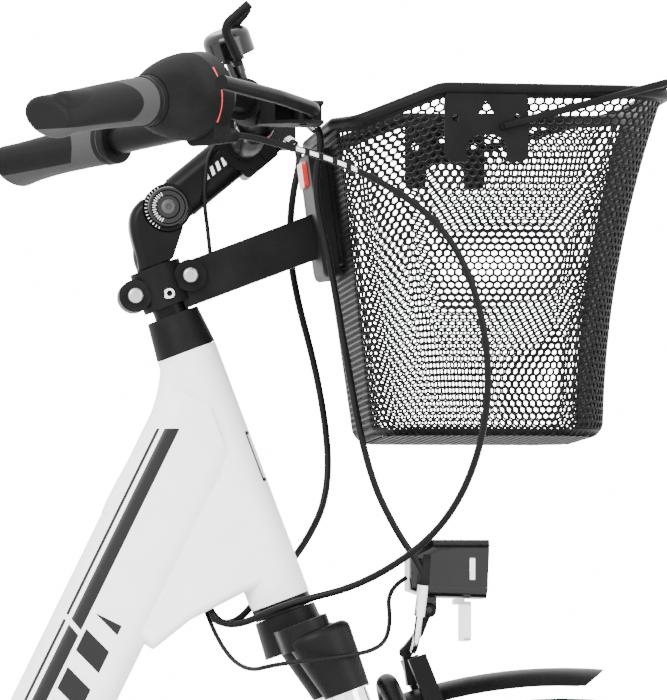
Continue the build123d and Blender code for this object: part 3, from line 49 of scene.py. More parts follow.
CAMERA_AIM = Vector((0.4115, 0.0, 0.9489))
camera_data = bpy.data.cameras.new("camera")
camera_data.lens = 505.3
camera_data.sensor_width = 36.0
camera_data.clip_end = 50.0
camera = bpy.data.objects.new("camera", camera_data)
bpy.context.scene.collection.objects.link(camera)
camera.location = CAMERA_AT
camera.rotation_euler = (CAMERA_AIM - CAMERA_AT).to_track_quat("-Z", "Y").to_euler()
bpy.context.scene.camera = camera

# ------------------------------------------------------------------ places shared with the CAD frame
FRONT_AXLE = Vector((0.576, 0.0, 0.350))
REAR_AXLE = Vector((-0.554, 0.0, 0.350))
BRACKET = Vector((-0.099, 0.0, 0.290))
TYRE_RADIUS = 0.350
HEAD_LEAN = math.radians(20.7)
AXIS_UP = Vector((-math.sin(HEAD_LEAN), 0.0, math.cos(HEAD_LEAN)))
AXIS_AHEAD = Vector((math.cos(HEAD_LEAN), 0.0, math.sin(HEAD_LEAN)))
AXIS_FOOT = FRONT_AXLE - AXIS_AHEAD * 0.0414
AHEAD = Vector((1.0, 0.0, 0.0))
SIDEWAYS = Vector((0.0, 1.0, 0.0))
UP = Vector((0.0, 0.0, 1.0))
HEAD_HIGH = 0.654
BEAM_CORNER = BRACKET + Vector((0.140, 0.0, 0.045))


def fork_spot(height, ahead, side=0.0):
    """A point by its height along the steering axis and its place ahead of it."""
    return AXIS_FOOT + AXIS_UP * height + AXIS_AHEAD * ahead + SIDEWAYS * side


BEAM_START = fork_spot(HEAD_HIGH - 0.042, 0.0)
BEAM_RUN = (BEAM_CORNER - BEAM_START).normalized()
BEAM_ACROSS = Vector((BEAM_RUN.z, 0.0, -BEAM_RUN.x))
BAR_MID = fork_spot(0.778, 0.0905)
BAR_KNEE = BAR_MID + Vector((-0.017, 0.160, 0.028))
BAR_TIP = BAR_MID + Vector((-0.146, 0.294, 0.006))
BAR_RUN = (BAR_TIP - BAR_KNEE).normalized()
BAR_REARWARD = UP.cross(BAR_RUN).normalized()
BAR_UPWARD = BAR_RUN.cross(BAR_REARWARD)
STEM_PIVOT = fork_spot(0.755, 0.023)
ARM_RUN = (BAR_MID - STEM_PIVOT).normalized()


def right_side(point):
    """The same point on the bicycle's right side."""
    return Vector((point.x, -point.y, point.z))


def bar_point(along, rearward=0.0, upward=0.0):
    """A point on the bar's left end, by its distance out from the knee of the bar."""
    return BAR_KNEE + BAR_RUN * along + BAR_REARWARD * rearward + BAR_UPWARD * upward


# ------------------------------------------------------------------ material helpers
class Paint:
    """A node material with short ways to add what its colour, roughness and relief come from."""

    def __init__(self, name):
        self.material = bpy.data.materials.new(name)
        self.material.use_nodes = True
        self.nodes = self.material.node_tree.nodes
        self.links = self.material.node_tree.links
        self.main = self.nodes["Principled BSDF"]

    def link(self, source, target):
        self.links.new(source, target)

    def place(self):
        return self.nodes.new("ShaderNodeTexCoord").outputs["Object"]

    def noise(self, scale, detail=3.0, stretch=None):
        texture = self.nodes.new("ShaderNodeTexNoise")
        texture.inputs["Scale"].default_value = scale
        texture.inputs["Detail"].default_value = detail
        source = self.place()
        if stretch:
            mapping = self.nodes.new("ShaderNodeMapping")
            mapping.inputs["Scale"].default_value = stretch
            self.link(source, mapping.inputs["Vector"])
            source = mapping.outputs["Vector"]
        self.link(source, texture.inputs["Vector"])
        return texture.outputs["Fac"]

    def math(self, kind, first, second=None):
        node = self.nodes.new("ShaderNodeMath")
        node.operation = kind
        for socket, value in zip(node.inputs, (first, second)):
            if value is None:
                continue
            if isinstance(value, (int, float)):
                socket.default_value = value
            else:
                self.link(value, socket)
        return node.outputs[0]

    def along(self, direction, origin=Vector((0.0, 0.0, 0.0)), source=None):
        """Distance of the shaded point from an origin, measured along a direction."""
        offset = self.nodes.new("ShaderNodeVectorMath")
        offset.operation = "SUBTRACT"
        self.link(source or self.place(), offset.inputs[0])
        offset.inputs[1].default_value = origin
        product = self.nodes.new("ShaderNodeVectorMath")
        product.operation = "DOT_PRODUCT"
        self.link(offset.outputs["Vector"], product.inputs[0])
        product.inputs[1].default_value = direction
        return product.outputs["Value"]

    def between(self, value, low, high):
        """One where a value lies between two limits, else nought."""
        return self.math("MULTIPLY", self.math("GREATER_THAN", value, low), self.math("LESS_THAN", value, high))

    def ramp(self, source, low, high, start=0.35, end=0.65):
        node = self.nodes.new("ShaderNodeValToRGB")
        node.color_ramp.elements[0].position = start
        node.color_ramp.elements[1].position = end
        node.color_ramp.elements[0].color = (*low, 1.0)
        node.color_ramp.elements[1].color = (*high, 1.0)
        self.link(source, node.inputs["Fac"])
        return node.outputs["Color"]

    def spread(self, source, low, high):
        node = self.nodes.new("ShaderNodeMapRange")
        node.inputs["To Min"].default_value = low
        node.inputs["To Max"].default_value = high
        self.link(source, node.inputs["Value"])
        return node.outputs["Result"]

    def mix(self, mask, first, second):
        """The first colour where the mask is nought, the second where it is one."""
        node = self.nodes.new("ShaderNodeMix")
        node.data_type = "RGBA"
        self.link(mask, node.inputs["Factor"])
        for socket, value in ((node.inputs[6], first), (node.inputs[7], second)):
            if isinstance(value, tuple):
                socket.default_value = (*value, 1.0)
            else:
                self.link(value, socket)
        return node.outputs[2]

    def relief(self, source, strength, distance):
        node = self.nodes.new("ShaderNodeBump")
        node.inputs["Strength"].default_value = strength
        node.inputs["Distance"].default_value = distance
        self.link(source, node.inputs["Height"])
        self.link(node.outputs["Normal"], self.main.inputs["Normal"])

    def set(self, **values):
        for name, value in values.items():
            self.main.inputs[name.replace("_", " ").title().replace("Ior", "IOR")].default_value = value


PATCH_GRAIN = 40.0


def surface(
    name, low, high, rough, metallic=0.0, grain=900.0, relief=0.1, depth=0.0001, coat=0.0, specular=0.5,
):
    """A finish whose colour and roughness vary slightly, with a fine relief."""
    paint = Paint(name)
    fine = paint.noise(grain, 2.0)
    colour = paint.ramp(paint.noise(PATCH_GRAIN), low, high)
    paint.link(colour, paint.main.inputs["Base Color"])
    paint.link(paint.spread(fine, *rough), paint.main.inputs["Roughness"])
    paint.relief(fine, relief, depth)
    paint.set(metallic=metallic, coat_weight=coat, coat_roughness=0.06, specular_ior_level=specular)
    paint.colour = colour
    return paint


def grey(low, high=None):
    high = low if high is None else high
    return (low, low, low), (high, high, high)


BLACK_SHEEN = 0.08
black_metal = surface("black_enamel", *grey(0.002, 0.004), (0.3, 0.42), grain=700, relief=0.05,
                      specular=BLACK_SHEEN).material
basket_black = surface("basket_black", *grey(0.002, 0.004), (0.4, 0.55), grain=1500, relief=0.2,
                       specular=BLACK_SHEEN).material
black_plastic = surface("black_plastic", *grey(0.003, 0.006), (0.42, 0.58), grain=1800, relief=0.25,
                        specular=BLACK_SHEEN).material
gloss_plastic = surface("gloss_plastic", *grey(0.002, 0.003), (0.12, 0.2), grain=500, relief=0.02,
                        specular=0.3).material
dark_grey = surface("dark_grey_plate", *grey(0.03, 0.04), (0.34, 0.48), grain=900, relief=0.12,
                    specular=0.4).material
red_plastic = surface("red_plastic", (0.62, 0.01, 0.012), (0.7, 0.015, 0.015), (0.25, 0.35), grain=500,
                      relief=0.04, coat=0.3).material
chrome = surface("chrome", *grey(0.8, 0.86), (0.04, 0.1), metallic=1.0, grain=200, relief=0.01).material
alloy = surface("satin_alloy", *grey(0.34, 0.42), (0.25, 0.38), metallic=1.0, relief=0.06).material
steel = surface("plated_steel", *grey(0.28, 0.38), (0.2, 0.34), metallic=1.0, grain=600, relief=0.05).material
rubber = surface("rubber", *grey(0.004, 0.008), (0.6, 0.8), grain=1600, relief=0.35,
                 specular=BLACK_SHEEN).material
leather = surface("saddle_leather", *grey(0.004, 0.008), (0.45, 0.62), grain=700, relief=0.5, depth=0.0003,
                  specular=BLACK_SHEEN).material
housing = surface("cable_housing", *grey(0.002, 0.004), (0.34, 0.44), relief=0.05, specular=0.12).material
red_lens = surface("red_lens", (0.45, 0.008, 0.01), (0.55, 0.012, 0.014), (0.06, 0.14), grain=300, relief=0.03,
                   coat=0.6).material
reflector_white = surface("reflector_white", *grey(0.7, 0.85), (0.1, 0.2), grain=260, relief=0.5, depth=0.0005,
                          coat=0.5, metallic=0.3).material
mark_white = surface("mark_white", *grey(0.72, 0.8), (0.4, 0.55), relief=0.05).material
mark_red = surface("mark_red", (0.5, 0.01, 0.012), (0.6, 0.015, 0.015), (0.4, 0.5), relief=0.05).material


def lens_material():
    paint = Paint("clear_lens")
    flutes = paint.noise(30.0, 1.0, (1.0, 30.0, 1.0))
    paint.link(paint.spread(flutes, 0.02, 0.1), paint.main.inputs["Roughness"])
    paint.link(paint.ramp(flutes, *grey(0.86, 0.95)), paint.main.inputs["Base Color"])
    paint.relief(flutes, 0.3, 0.0005)
    paint.set(transmission_weight=0.7, ior=1.49)
    return paint.material


clear_lens = lens_material()


def frame_enamel():
    """Gloss white with two black stripes down each side of the beam, a row of slanted bars and a head badge."""
    paint = surface("white_enamel", *grey(0.86, 0.9), (0.24, 0.34), grain=300, relief=0.015, specular=0.25)
    down = paint.along(BEAM_RUN, BEAM_START)
    across = paint.along(BEAM_ACROSS, BEAM_START)
    normal = paint.nodes.new("ShaderNodeNewGeometry").outputs["Normal"]
    facing = paint.math("ABSOLUTE", paint.along(SIDEWAYS, source=normal))
    on_side = paint.math("GREATER_THAN", facing, 0.6)
    thick = paint.between(across, 0.0118, 0.0215)
    thin = paint.between(across, 0.0244, 0.0264)
    # the stripes start level, and break on a slant
    start = paint.math("ADD", down, paint.math("MULTIPLY", across, -0.49))
    broken = paint.between(paint.math("ADD", down, paint.math("MULTIPLY", across, 0.45)), 0.189, 0.193)
    shown = paint.math("MULTIPLY", paint.between(start, 0.018, 0.46), paint.math("SUBTRACT", 1.0, broken))
    stripes = paint.math("MULTIPLY", paint.math("MAXIMUM", thick, thin), shown)
    # slanted bars in the place of lettering
    slant = paint.math("ADD", down, paint.math("MULTIPLY", across, 0.35))
    step = paint.math("MODULO", slant, 0.030)
    bars = paint.math("MULTIPLY", paint.between(across, -0.013, 0.009), paint.between(step, 0.004, 0.021))
    bars = paint.math("MULTIPLY", bars, paint.between(down, 0.168, 0.40))
    marks = paint.math("MULTIPLY", paint.math("MAXIMUM", stripes, bars), on_side)
    # a plain badge on the front of the head tube: an outlined upright bar
    up = paint.along(AXIS_UP, AXIS_FOOT)
    ahead = paint.along(AXIS_AHEAD, AXIS_FOOT)
    side = paint.math("ABSOLUTE", paint.along(SIDEWAYS))
    at_front = paint.math("GREATER_THAN", ahead, 0.0145)
    rim = paint.math("SUBTRACT", paint.math("MULTIPLY", paint.between(up, 0.548, 0.586),
                                            paint.math("LESS_THAN", side, 0.0125)),
                     paint.math("MULTIPLY", paint.between(up, 0.5505, 0.5835),
                                paint.math("LESS_THAN", side, 0.0105)))
    core = paint.math("MULTIPLY", paint.between(up, 0.556, 0.578), paint.math("LESS_THAN", side, 0.006))
    badge = paint.math("MULTIPLY", paint.math("MAXIMUM", rim, core), at_front)
    mask = paint.math("MAXIMUM", marks, badge)
    paint.link(paint.mix(mask, paint.colour, (0.003, 0.003, 0.003)), paint.main.inputs["Base Color"])
    return paint.material


def two_finishes(name, mask, first, second, rough, metallic, specular=0.1):
    """One finish where the mask is nought and another where it is one."""
    paint = Paint(name)
    fine = paint.noise(800.0)
    where = mask(paint)
    paint.link(paint.mix(where, first, second), paint.main.inputs["Base Color"])
    change = paint.math("MULTIPLY", where, rough[1] - rough[0])
    shine = paint.math("ADD", change, paint.spread(fine, rough[0], rough[0] + 0.08))
    paint.link(shine, paint.main.inputs["Roughness"])
    paint.link(paint.math("ADD", paint.math("MULTIPLY", where, metallic[1] - metallic[0]), metallic[0]),
               paint.main.inputs["Metallic"])
    paint.relief(fine, 0.06, 0.0001)
    paint.set(specular_ior_level=specular)
    return paint.material


STANCHION_TOP = 0.388
white = frame_enamel()
crown_finish = two_finishes(
    "crown_and_stanchions", lambda p: p.math("LESS_THAN", p.along(AXIS_UP, AXIS_FOOT), STANCHION_TOP),
    (0.003, 0.003, 0.003), (0.82, 0.82, 0.84), (0.4, 0.06), (0.0, 1.0))
BEARING_SPLIT = 0.2
bearing_finish = two_finishes(
    "bearings", lambda p: p.math("LESS_THAN", p.along(AHEAD), BEARING_SPLIT),
    (0.003, 0.003, 0.003), (0.56, 0.56, 0.58), (0.3, 0.26), (0.0, 1.0))


def printed_dashes(paint):
    """Short white dashes along the top of the shift cable."""
    ahead = paint.along(AHEAD)
    up = paint.along(UP)
    dash = paint.between(paint.math("MODULO", ahead, 0.0095), 0.0015, 0.0075)
    here = paint.math("MULTIPLY", paint.between(ahead, 0.372, 0.414), paint.math("GREATER_THAN", up, 1.0))
    normal = paint.nodes.new("ShaderNodeNewGeometry").outputs["Normal"]
    facing = paint.math("LESS_THAN", paint.along(SIDEWAYS, source=normal), -0.8)
    return paint.math("MULTIPLY", paint.math("MULTIPLY", dash, here), facing)


printed_housing = two_finishes("printed_housing", printed_dashes, (0.003, 0.003, 0.003), (0.75, 0.75, 0.75),
                               (0.36, 0.4), (0.0, 0.0))


def grip_panel(paint):
    """The grey cushion at the inner end of each grip and along its underside."""
    place = paint.nodes.new("ShaderNodeSeparateXYZ")
    paint.link(paint.place(), place.inputs[0])
    folded = paint.nodes.new("ShaderNodeCombineXYZ")
    paint.link(place.outputs["X"], folded.inputs["X"])
    paint.link(paint.math("ABSOLUTE", place.outputs["Y"]), folded.inputs["Y"])
    paint.link(place.outputs["Z"], folded.inputs["Z"])
    out = paint.along(BAR_RUN, BAR_KNEE, folded.outputs[0])
    lift = paint.along(BAR_UPWARD, BAR_KNEE, folded.outputs[0])
    bowed = paint.math("ADD", out, paint.math("MULTIPLY", paint.math("MULTIPLY", lift, lift), -45.0))
    inner = paint.math("LESS_THAN", bowed, 0.118)
    under = paint.math("LESS_THAN", lift, -0.0125)
    return paint.math("MAXIMUM", inner, under)


grip_finish = two_finishes("grip_rubber", grip_panel, (0.004, 0.004, 0.004), (0.04, 0.04, 0.041), (0.55, 0.6),
                           (0.0, 0.0))

paints = {
    "frame_front": white, "rear_stays": white, "bearings_and_axle": bearing_finish, "rear_fender": black_metal,
    "rear_carrier": black_metal, "rear_light": red_lens, "chain_guard": black_plastic, "chain": steel,
    "seat_clamp": alloy, "seat_clamp_lever": alloy, "seatpost": alloy, "saddle": leather, "crankset": alloy,
    "right_pedal": black_plastic, "left_pedal": black_plastic, "sprocket": steel, "rear_tyre": rubber,
    "front_tyre": rubber, "rear_rim": alloy, "front_rim": alloy, "rear_spokes": steel, "front_spokes": steel,
    "rear_hub": alloy, "front_hub": alloy, "kickstand_legs": black_metal, "fork_upper": crown_finish,
    "headset_cone": black_plastic, "stem_base": black_metal, "stem_arm": black_metal, "stem_bolts": black_metal,
    "handlebar": black_metal, "grips": grip_finish, "brake_lever_mounts": black_plastic,
    "shifter_body": black_plastic, "twist_grip": rubber, "right_brake_lever": black_metal,
    "left_brake_lever": black_metal, "bell_body": gloss_plastic, "bell_lever": black_plastic,
    "basket_holder": black_plastic, "holder_bolts": dark_grey, "adapter_plate": black_plastic,
    "release_button": red_plastic, "basket_shell": basket_black, "basket_frame": basket_black,
    "basket_handle": black_metal, "fork_lowers": black_metal, "front_fender": black_metal,
    "lamp_bracket": black_metal, "headlight_body": gloss_plastic, "headlight_lens": clear_lens,
    "front_reflector": reflector_white, "right_brake_arm": black_metal, "left_brake_arm": black_metal,
    "brake_noodle": chrome, "front_axle": steel, "shift_cable": housing, "front_brake_cable": housing,
    "rear_brake_cable": housing, "wiring_lead": housing,
}
for name, material in paints.items():
    for place in nodes[name].material_slots:
        place.material = material


# ------------------------------------------------------------------ building helpers
def mesh_object(name, vertices, faces, material, body, slot, smooth=True):
    data = bpy.data.meshes.new(name)
    data.from_pydata([tuple(v) for v in vertices], [], faces)
    data.validate()
    data.materials.append(material)
    data.polygons.foreach_set("use_smooth", [smooth] * len(data.polygons))
    piece = bpy.data.objects.new(name, data)
    bpy.context.scene.collection.objects.link(piece)
    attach(piece, body)
    return piece


def line_piece(name, points, radius, body, material):
    """A round cable or wire on one smooth spline."""
    data = bpy.data.curves.new(name, "CURVE")
    data.dimensions = "3D"
    data.bevel_depth = radius
    data.bevel_resolution = 5
    data.use_fill_caps = True
    data.resolution_u = 14
    spline = data.splines.new("NURBS")
    spline.points.add(len(points) - 1)
    for point, place in zip(spline.points, points):
        point.co = (*place, 1.0)
    spline.order_u = 3
    spline.use_endpoint_u = True
    data.materials.append(material)
    piece = bpy.data.objects.new(name, data)
    bpy.context.scene.collection.objects.link(piece)
    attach(piece, body)
    return piece


NEARLY_ALONG = 0.95


def frame_at(axis, hint=UP):
    """Two directions square to an axis."""
    axis = axis.normalized()
    if abs(axis.dot(hint)) > NEARLY_ALONG:
        hint = AHEAD
    across = axis.cross(hint).normalized()
    return axis, across, axis.cross(across)


def turned_mesh(origin, axis, outline, count=32, lobes=None):
    """A surface of revolution; outline points are (along the axis, radius). Lobes shapes the radius by angle."""
    axis, across, up = frame_at(axis)
    vertices, faces = [], []
    for along, radius in outline:
        for step in range(count):
            angle = 2 * math.pi * step / count
            reach = radius * (lobes(angle, along) if lobes else 1.0)
            spot = origin + axis * along + across * math.cos(angle) * reach + up * math.sin(angle) * reach
            vertices.append(spot)
    for row in range(len(outline) - 1):
        for step in range(count):
            following = (step + 1) % count
            faces.append((row * count + step, row * count + following,
                          (row + 1) * count + following, (row + 1) * count + step))
    faces.append(tuple(range(count))[::-1])
    faces.append(tuple(range((len(outline) - 1) * count, len(outline) * count)))
    return vertices, faces


def joined(*parts):
    """Several vertex and face lists as one."""
    vertices, faces = [], []
    for part_vertices, part_faces in parts:
        shift = len(vertices)
        vertices.extend(part_vertices)
        faces.extend(tuple(index + shift for index in face) for face in part_faces)
    return vertices, faces


def block(centre, ahead, across, up, size):
    """A small block with cut corners, by its centre, three directions and three half sizes."""
    vertices, faces = [], []
    cut = 0.78
    for level, scale in ((-1.0, cut), (-cut, 1.0), (cut, 1.0), (1.0, cut)):
        for a, b in ((-1, -1), (1, -1), (1, 1), (-1, 1)):
            vertices.append(centre + ahead * size[0] * a * scale + across * size[1] * b * scale
                            + up * size[2] * level)
    for row in range(3):
        for step in range(4):
            following = (step + 1) % 4
            faces.append((row * 4 + step, row * 4 + following, row * 4 + 4 + following, row * 4 + 4 + step))
    faces.append((3, 2, 1, 0))
    faces.append((12, 13, 14, 15))
    return vertices, faces


HEAD_SEGMENTS = 24


def bolt_head(origin, axis, radius, height):
    """A domed cap with a six-sided socket sunk into it."""
    outline = [(0.0, radius), (height * 0.55, radius), (height * 0.85, radius * 0.9), (height, radius * 0.72),
               (height, radius * 0.5)]
    dome, dome_faces = turned_mesh(origin, axis, outline, HEAD_SEGMENTS)
    dome_faces = dome_faces[:-1]
    axis, across, up = frame_at(axis)
    start = len(dome)
    for along, reach in ((height, radius * 0.46), (height * 0.25, radius * 0.46)):
        for step in range(HEAD_SEGMENTS):
            angle = 2 * math.pi * step / HEAD_SEGMENTS
            distance = reach * math.cos(math.pi / 6) / math.cos((angle % (math.pi / 3)) - math.pi / 6)
            dome.append(origin + axis * along + across * math.cos(angle) * distance + up * math.sin(angle) * distance)
    for row in (start - HEAD_SEGMENTS, start):
        beyond = row + HEAD_SEGMENTS
        for step in range(HEAD_SEGMENTS):
            following = (step + 1) % HEAD_SEGMENTS
            dome_faces.append((row + step, row + following, beyond + following, beyond + step))
    dome_faces.append(tuple(range(start + HEAD_SEGMENTS, start + 2 * HEAD_SEGMENTS)))
    return dome, dome_faces


def flat_edges(piece, angle=0.6):
    """Smooth shading that keeps corners sharper than an angle."""
    piece.data.set_sharp_from_angle(angle=angle)
    return piece


# ------------------------------------------------------------------ wire basket
BASKET_LOW, BASKET_WAIST, BASKET_TOP = 0.884, 0.994, 1.126
BASKET_MIDDLE = (BASKET_WAIST - BASKET_LOW) / (BASKET_TOP - BASKET_LOW)
BASKET_CENTRES = (0.5145, 0.511, 0.518)
BASKET_LENGTHS = (0.165, 0.187, 0.236)
BASKET_WIDTHS = (0.240, 0.280, 0.336)
BASKET_CORNERS = (0.038, 0.041, 0.046)
SIDE_AHEAD, REAR_AHEAD, REAR_LEVEL = 0.475, 0.416, 1.103
COLUMNS, ROWS = 156, 52
STRAND, STRAND_DEPTH = 0.74, 0.0012
FOOT_ROUND = 0.011
FLOOR_PITCH, FLOOR_ROW_PITCH = 0.0062, 0.0046
STRIP_STEPS = 240


def through(values, t):
    """A value on the smooth curve through the basket's three sections."""
    low, middle, top = values
    m = BASKET_MIDDLE
    return (low * (t - m) * (t - 1) / m + middle * t * (t - 1) / (m * (m - 1)) + top * t * (t - m) / (1 - m))


def round_rectangle(share, length, width, corner):
    """A point on a rounded rectangle's outline by its share of the way round, from the middle of the rear."""
    half_l, half_w = length / 2 - corner, width / 2 - corner
    arc = math.pi * corner / 2
    runs = [half_w, arc, 2 * half_l, arc, 2 * half_w, arc, 2 * half_l, arc, half_w]
    left = (share % 1.0) * sum(runs)
    index = 0
    while left > runs[index] and index < 8:
        left -= runs[index]
        index += 1
    turn = left / corner
    return (
        (-length / 2, left),
        (-half_l - corner * math.cos(turn), half_w + corner * math.sin(turn)),
        (-half_l + left, width / 2),
        (half_l + corner * math.sin(turn), half_w + corner * math.cos(turn)),
        (length / 2, half_w - left),
        (half_l + corner * math.cos(turn), -half_w - corner * math.sin(turn)),
        (half_l - left, -width / 2),
        (-half_l - corner * math.sin(turn), -half_w - corner * math.cos(turn)),
        (-length / 2, -half_w + left),
    )[index]


def wall_point(share, level, inset=0.001):
    """A point on the basket's wall; level runs from 0 at the floor to 1 under the rim."""
    def at(t):
        x, y = round_rectangle(share, through(BASKET_LENGTHS, t) - 2 * inset,
                               through(BASKET_WIDTHS, t) - 2 * inset, through(BASKET_CORNERS, t))
        return through(BASKET_CENTRES, t) + x, y
    x, _ = at(1.0)
    dip = min(1.0, max(0.0, (SIDE_AHEAD - x) / (SIDE_AHEAD - REAR_AHEAD)))
    top = BASKET_TOP - 0.002 - dip * (BASKET_TOP - REAR_LEVEL)
    z = BASKET_LOW + 0.001 + (top - BASKET_LOW) * level
    below = max(0.0, FOOT_ROUND - (z - BASKET_LOW))
    inset += FOOT_ROUND - math.sqrt(FOOT_ROUND ** 2 - below ** 2)
    x, y = at((z - BASKET_LOW) / (BASKET_TOP - BASKET_LOW))
    return Vector((x, y, z))


def floor_point(across, ahead):
    """A point on the basket's floor, in metres from its middle."""
    return Vector((BASKET_CENTRES[0] + ahead, across, BASKET_LOW + 0.001))


def expanded_mesh(name, cells, place):
    """Six-sided holes in a thin sheet. Cells are (column, row); place turns lattice counts into a point."""
    spots, used = {}, {}
    corners = ((0, -2), (1, -1), (1, 1), (0, 2), (-1, 1), (-1, -1))
    rings = []
    for column, row in cells:
        i, j = 2 * column + row % 2, 3 * row + 2
        keys = [(i + di, j + dj) for di, dj in corners]
        for key in keys:
            if key not in spots:
                spots[key] = place(*key)
        outer = [spots[key] for key in keys]
        centre = sum(outer, Vector()) / 6
        normal = (outer[2] - outer[0]).cross(outer[4] - outer[0]).normalized()
        for key in keys:
            used[key] = used.get(key, Vector()) + normal
        rings.append((keys, centre, normal))
    vertices, faces, index = [], [], {}
    half = STRAND_DEPTH / 2
    for key, normal in used.items():
        out = normal.normalized() * half
        index[key] = len(vertices)
        vertices.append(spots[key] + out)
        vertices.append(spots[key] - out)
    for keys, centre, normal in rings:
        start = len(vertices)
        for key in keys:
            inner = centre + (spots[key] - centre) * STRAND
            vertices.append(inner + normal * half)
            vertices.append(inner - normal * half)
        for step in range(6):
            following = (step + 1) % 6
            a, b = index[keys[step]], index[keys[following]]
            c, d = start + 2 * following, start + 2 * step
            faces.append((a, b, c, d))
            faces.append((b + 1, a + 1, d + 1, c + 1))
            faces.append((d, c, c + 1, d + 1))
    return mesh_object(name, vertices, faces, basket_black, "basket", "black_metal", smooth=False)


def basket():
    """Four wall panels, a floor, and the folded strips along the foot and under the rim."""
    share = COLUMNS // 4
    for panel in range(4):
        cells = [(column, row) for row in range(ROWS) for column in range(panel * share, (panel + 1) * share)]
        wall = expanded_mesh(
            f"basket_wall_{panel + 1}", cells,
            lambda i, j: wall_point(i / (2 * COLUMNS), j / (3 * ROWS + 1)))
        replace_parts(wall, "basket_shell")
    half_l, half_w, corner = BASKET_LENGTHS[0] / 2, BASKET_WIDTHS[0] / 2, BASKET_CORNERS[0]

    def on_floor(i, j):
        x = max(0.0, abs(j * FLOOR_ROW_PITCH / 3) - half_l + corner)
        y = max(0.0, abs(i * FLOOR_PITCH / 2) - half_w + corner)
        return math.hypot(x, y) < corner - FOOT_ROUND + 0.003

    cells = [(column, row) for row in range(-20, 20) for column in range(-22, 22)
             if on_floor(2 * column + row % 2, 3 * row + 2)]
    expanded_mesh(
        "basket_floor", cells, lambda i, j: floor_point(i * FLOOR_PITCH / 2, j * FLOOR_ROW_PITCH / 3))
    # the folded strips along the foot and under the rim
    for name, low, high, out in (("basket_foot_strip", 0.0, 0.018, 0.0008), ("basket_rim_strip", 0.975, 1.0, 0.0008)):
        rows = []
        for level, inset in ((low, 0.001 - out), (high, 0.001 - out), (high, 0.001 + out), (low, 0.001 + out)):
            rows.append([wall_point(step / STRIP_STEPS, level, inset) for step in range(STRIP_STEPS)])
        vertices = [spot for row in rows for spot in row]
        faces = []
        for row in range(4):
            here, beyond = row * STRIP_STEPS, ((row + 1) % 4) * STRIP_STEPS
            for step in range(STRIP_STEPS):
                following = (step + 1) % STRIP_STEPS
                faces.append((here + step, here + following, beyond + following, beyond + step))
        mesh_object(name, vertices, faces, basket_black, "basket", "black_metal", smooth=False)


basket()

# ------------------------------------------------------------------ cables
CABLE, LEAD = 0.0025, 0.0016


def millimetres(*points):
    return [Vector(point) / 1000 for point in points]


adjuster_from = BAR_MID + Vector((0.034, 0.118, 0.014))
adjuster_to = BAR_MID + Vector((0.044, 0.109, 0.006))
adjuster_run = (adjuster_to - adjuster_from).normalized()
noodle_top = Vector((0.471, -0.045, 0.772))
noodle_run = (noodle_top - fork_spot(0.398, 0.0748, -0.039)).normalized()

shift_route = [
    right_side(bar_point(0.0177, -0.012, -0.030)), right_side(bar_point(0.004, -0.012, -0.030)),
    *millimetres((424, -188, 1066), (488, -188, 1018), (512, -180, 920), (492, -130, 830), (436, -66, 782),
                 (372, -46, 766), (342, -28, 751), (325, -10, 755), (320, -9, 770)),
]
front_brake_route = [
    right_side(adjuster_to + adjuster_run * 0.0003), right_side(adjuster_to + adjuster_run * 0.009),
    *millimetres((390, -96, 1060), (402, -88, 1010), (412, -80, 955), (430, -66, 862), (452, -52, 818)),
    noodle_top + noodle_run * 0.018, noodle_top + noodle_run * 0.0092,
]
rear_brake_route = [
    adjuster_to + adjuster_run * 0.0003, adjuster_to + adjuster_run * 0.009,
    *millimetres((386, 72, 1060), (384, 64, 1010), (408, 60, 920), (414, 56, 850), (392, 42, 806), (364, 34, 778),
                 (344, 24, 753), (324, 9, 755), (319, 8, 770)),
]
wiring_route = millimetres(
    (318, 0, 769), (326, -14, 742), (344, -52, 718), (366, -84, 724), (404, -86, 728), (440, -70, 734),
    (450, -34, 752), (448, -20, 778), (462.4, -17, 786))
for name, route, radius, body, finish in (
    ("shift_cable", shift_route, CABLE, "bar", printed_housing),
    ("front_brake_cable", front_brake_route, CABLE, "bar", housing),
    ("rear_brake_cable", rear_brake_route, CABLE, "bar", housing),
    ("wiring_lead", wiring_route, LEAD, "frame", housing),
):
    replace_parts(line_piece(f"{name}_line", route, radius, body, finish), name)


def stem_spot(along, across, side):
    """A point beside the stem arm, by its distance from the pivot and across the arm."""
    turned = Vector((-ARM_RUN.z, 0.0, ARM_RUN.x))
    return STEM_PIVOT + ARM_RUN * along + turned * across + SIDEWAYS * side


# the bell and lamp wire tied along the stem, then down behind the column
line_piece("stem_wire", [
    stem_spot(0.068, 0.012, -0.0185), stem_spot(0.052, 0.016, -0.0195), stem_spot(0.030, -0.004, -0.0195),
    stem_spot(0.018, -0.020, -0.016), fork_spot(0.735, 0.046, -0.006), fork_spot(0.712, 0.040, -0.004),
], 0.0015, "bar", housing)

# ------------------------------------------------------------------ small hardware
HOLDER_LEVEL = 0.704


def bolts(name, spots, radius, height, body, material, slot):
    """Domed socket bolts; each spot is a place and the way its head faces."""
    parts = [bolt_head(place, facing, radius, height) for place, facing in spots]
    return flat_edges(mesh_object(name, *joined(*parts), material, body, slot))


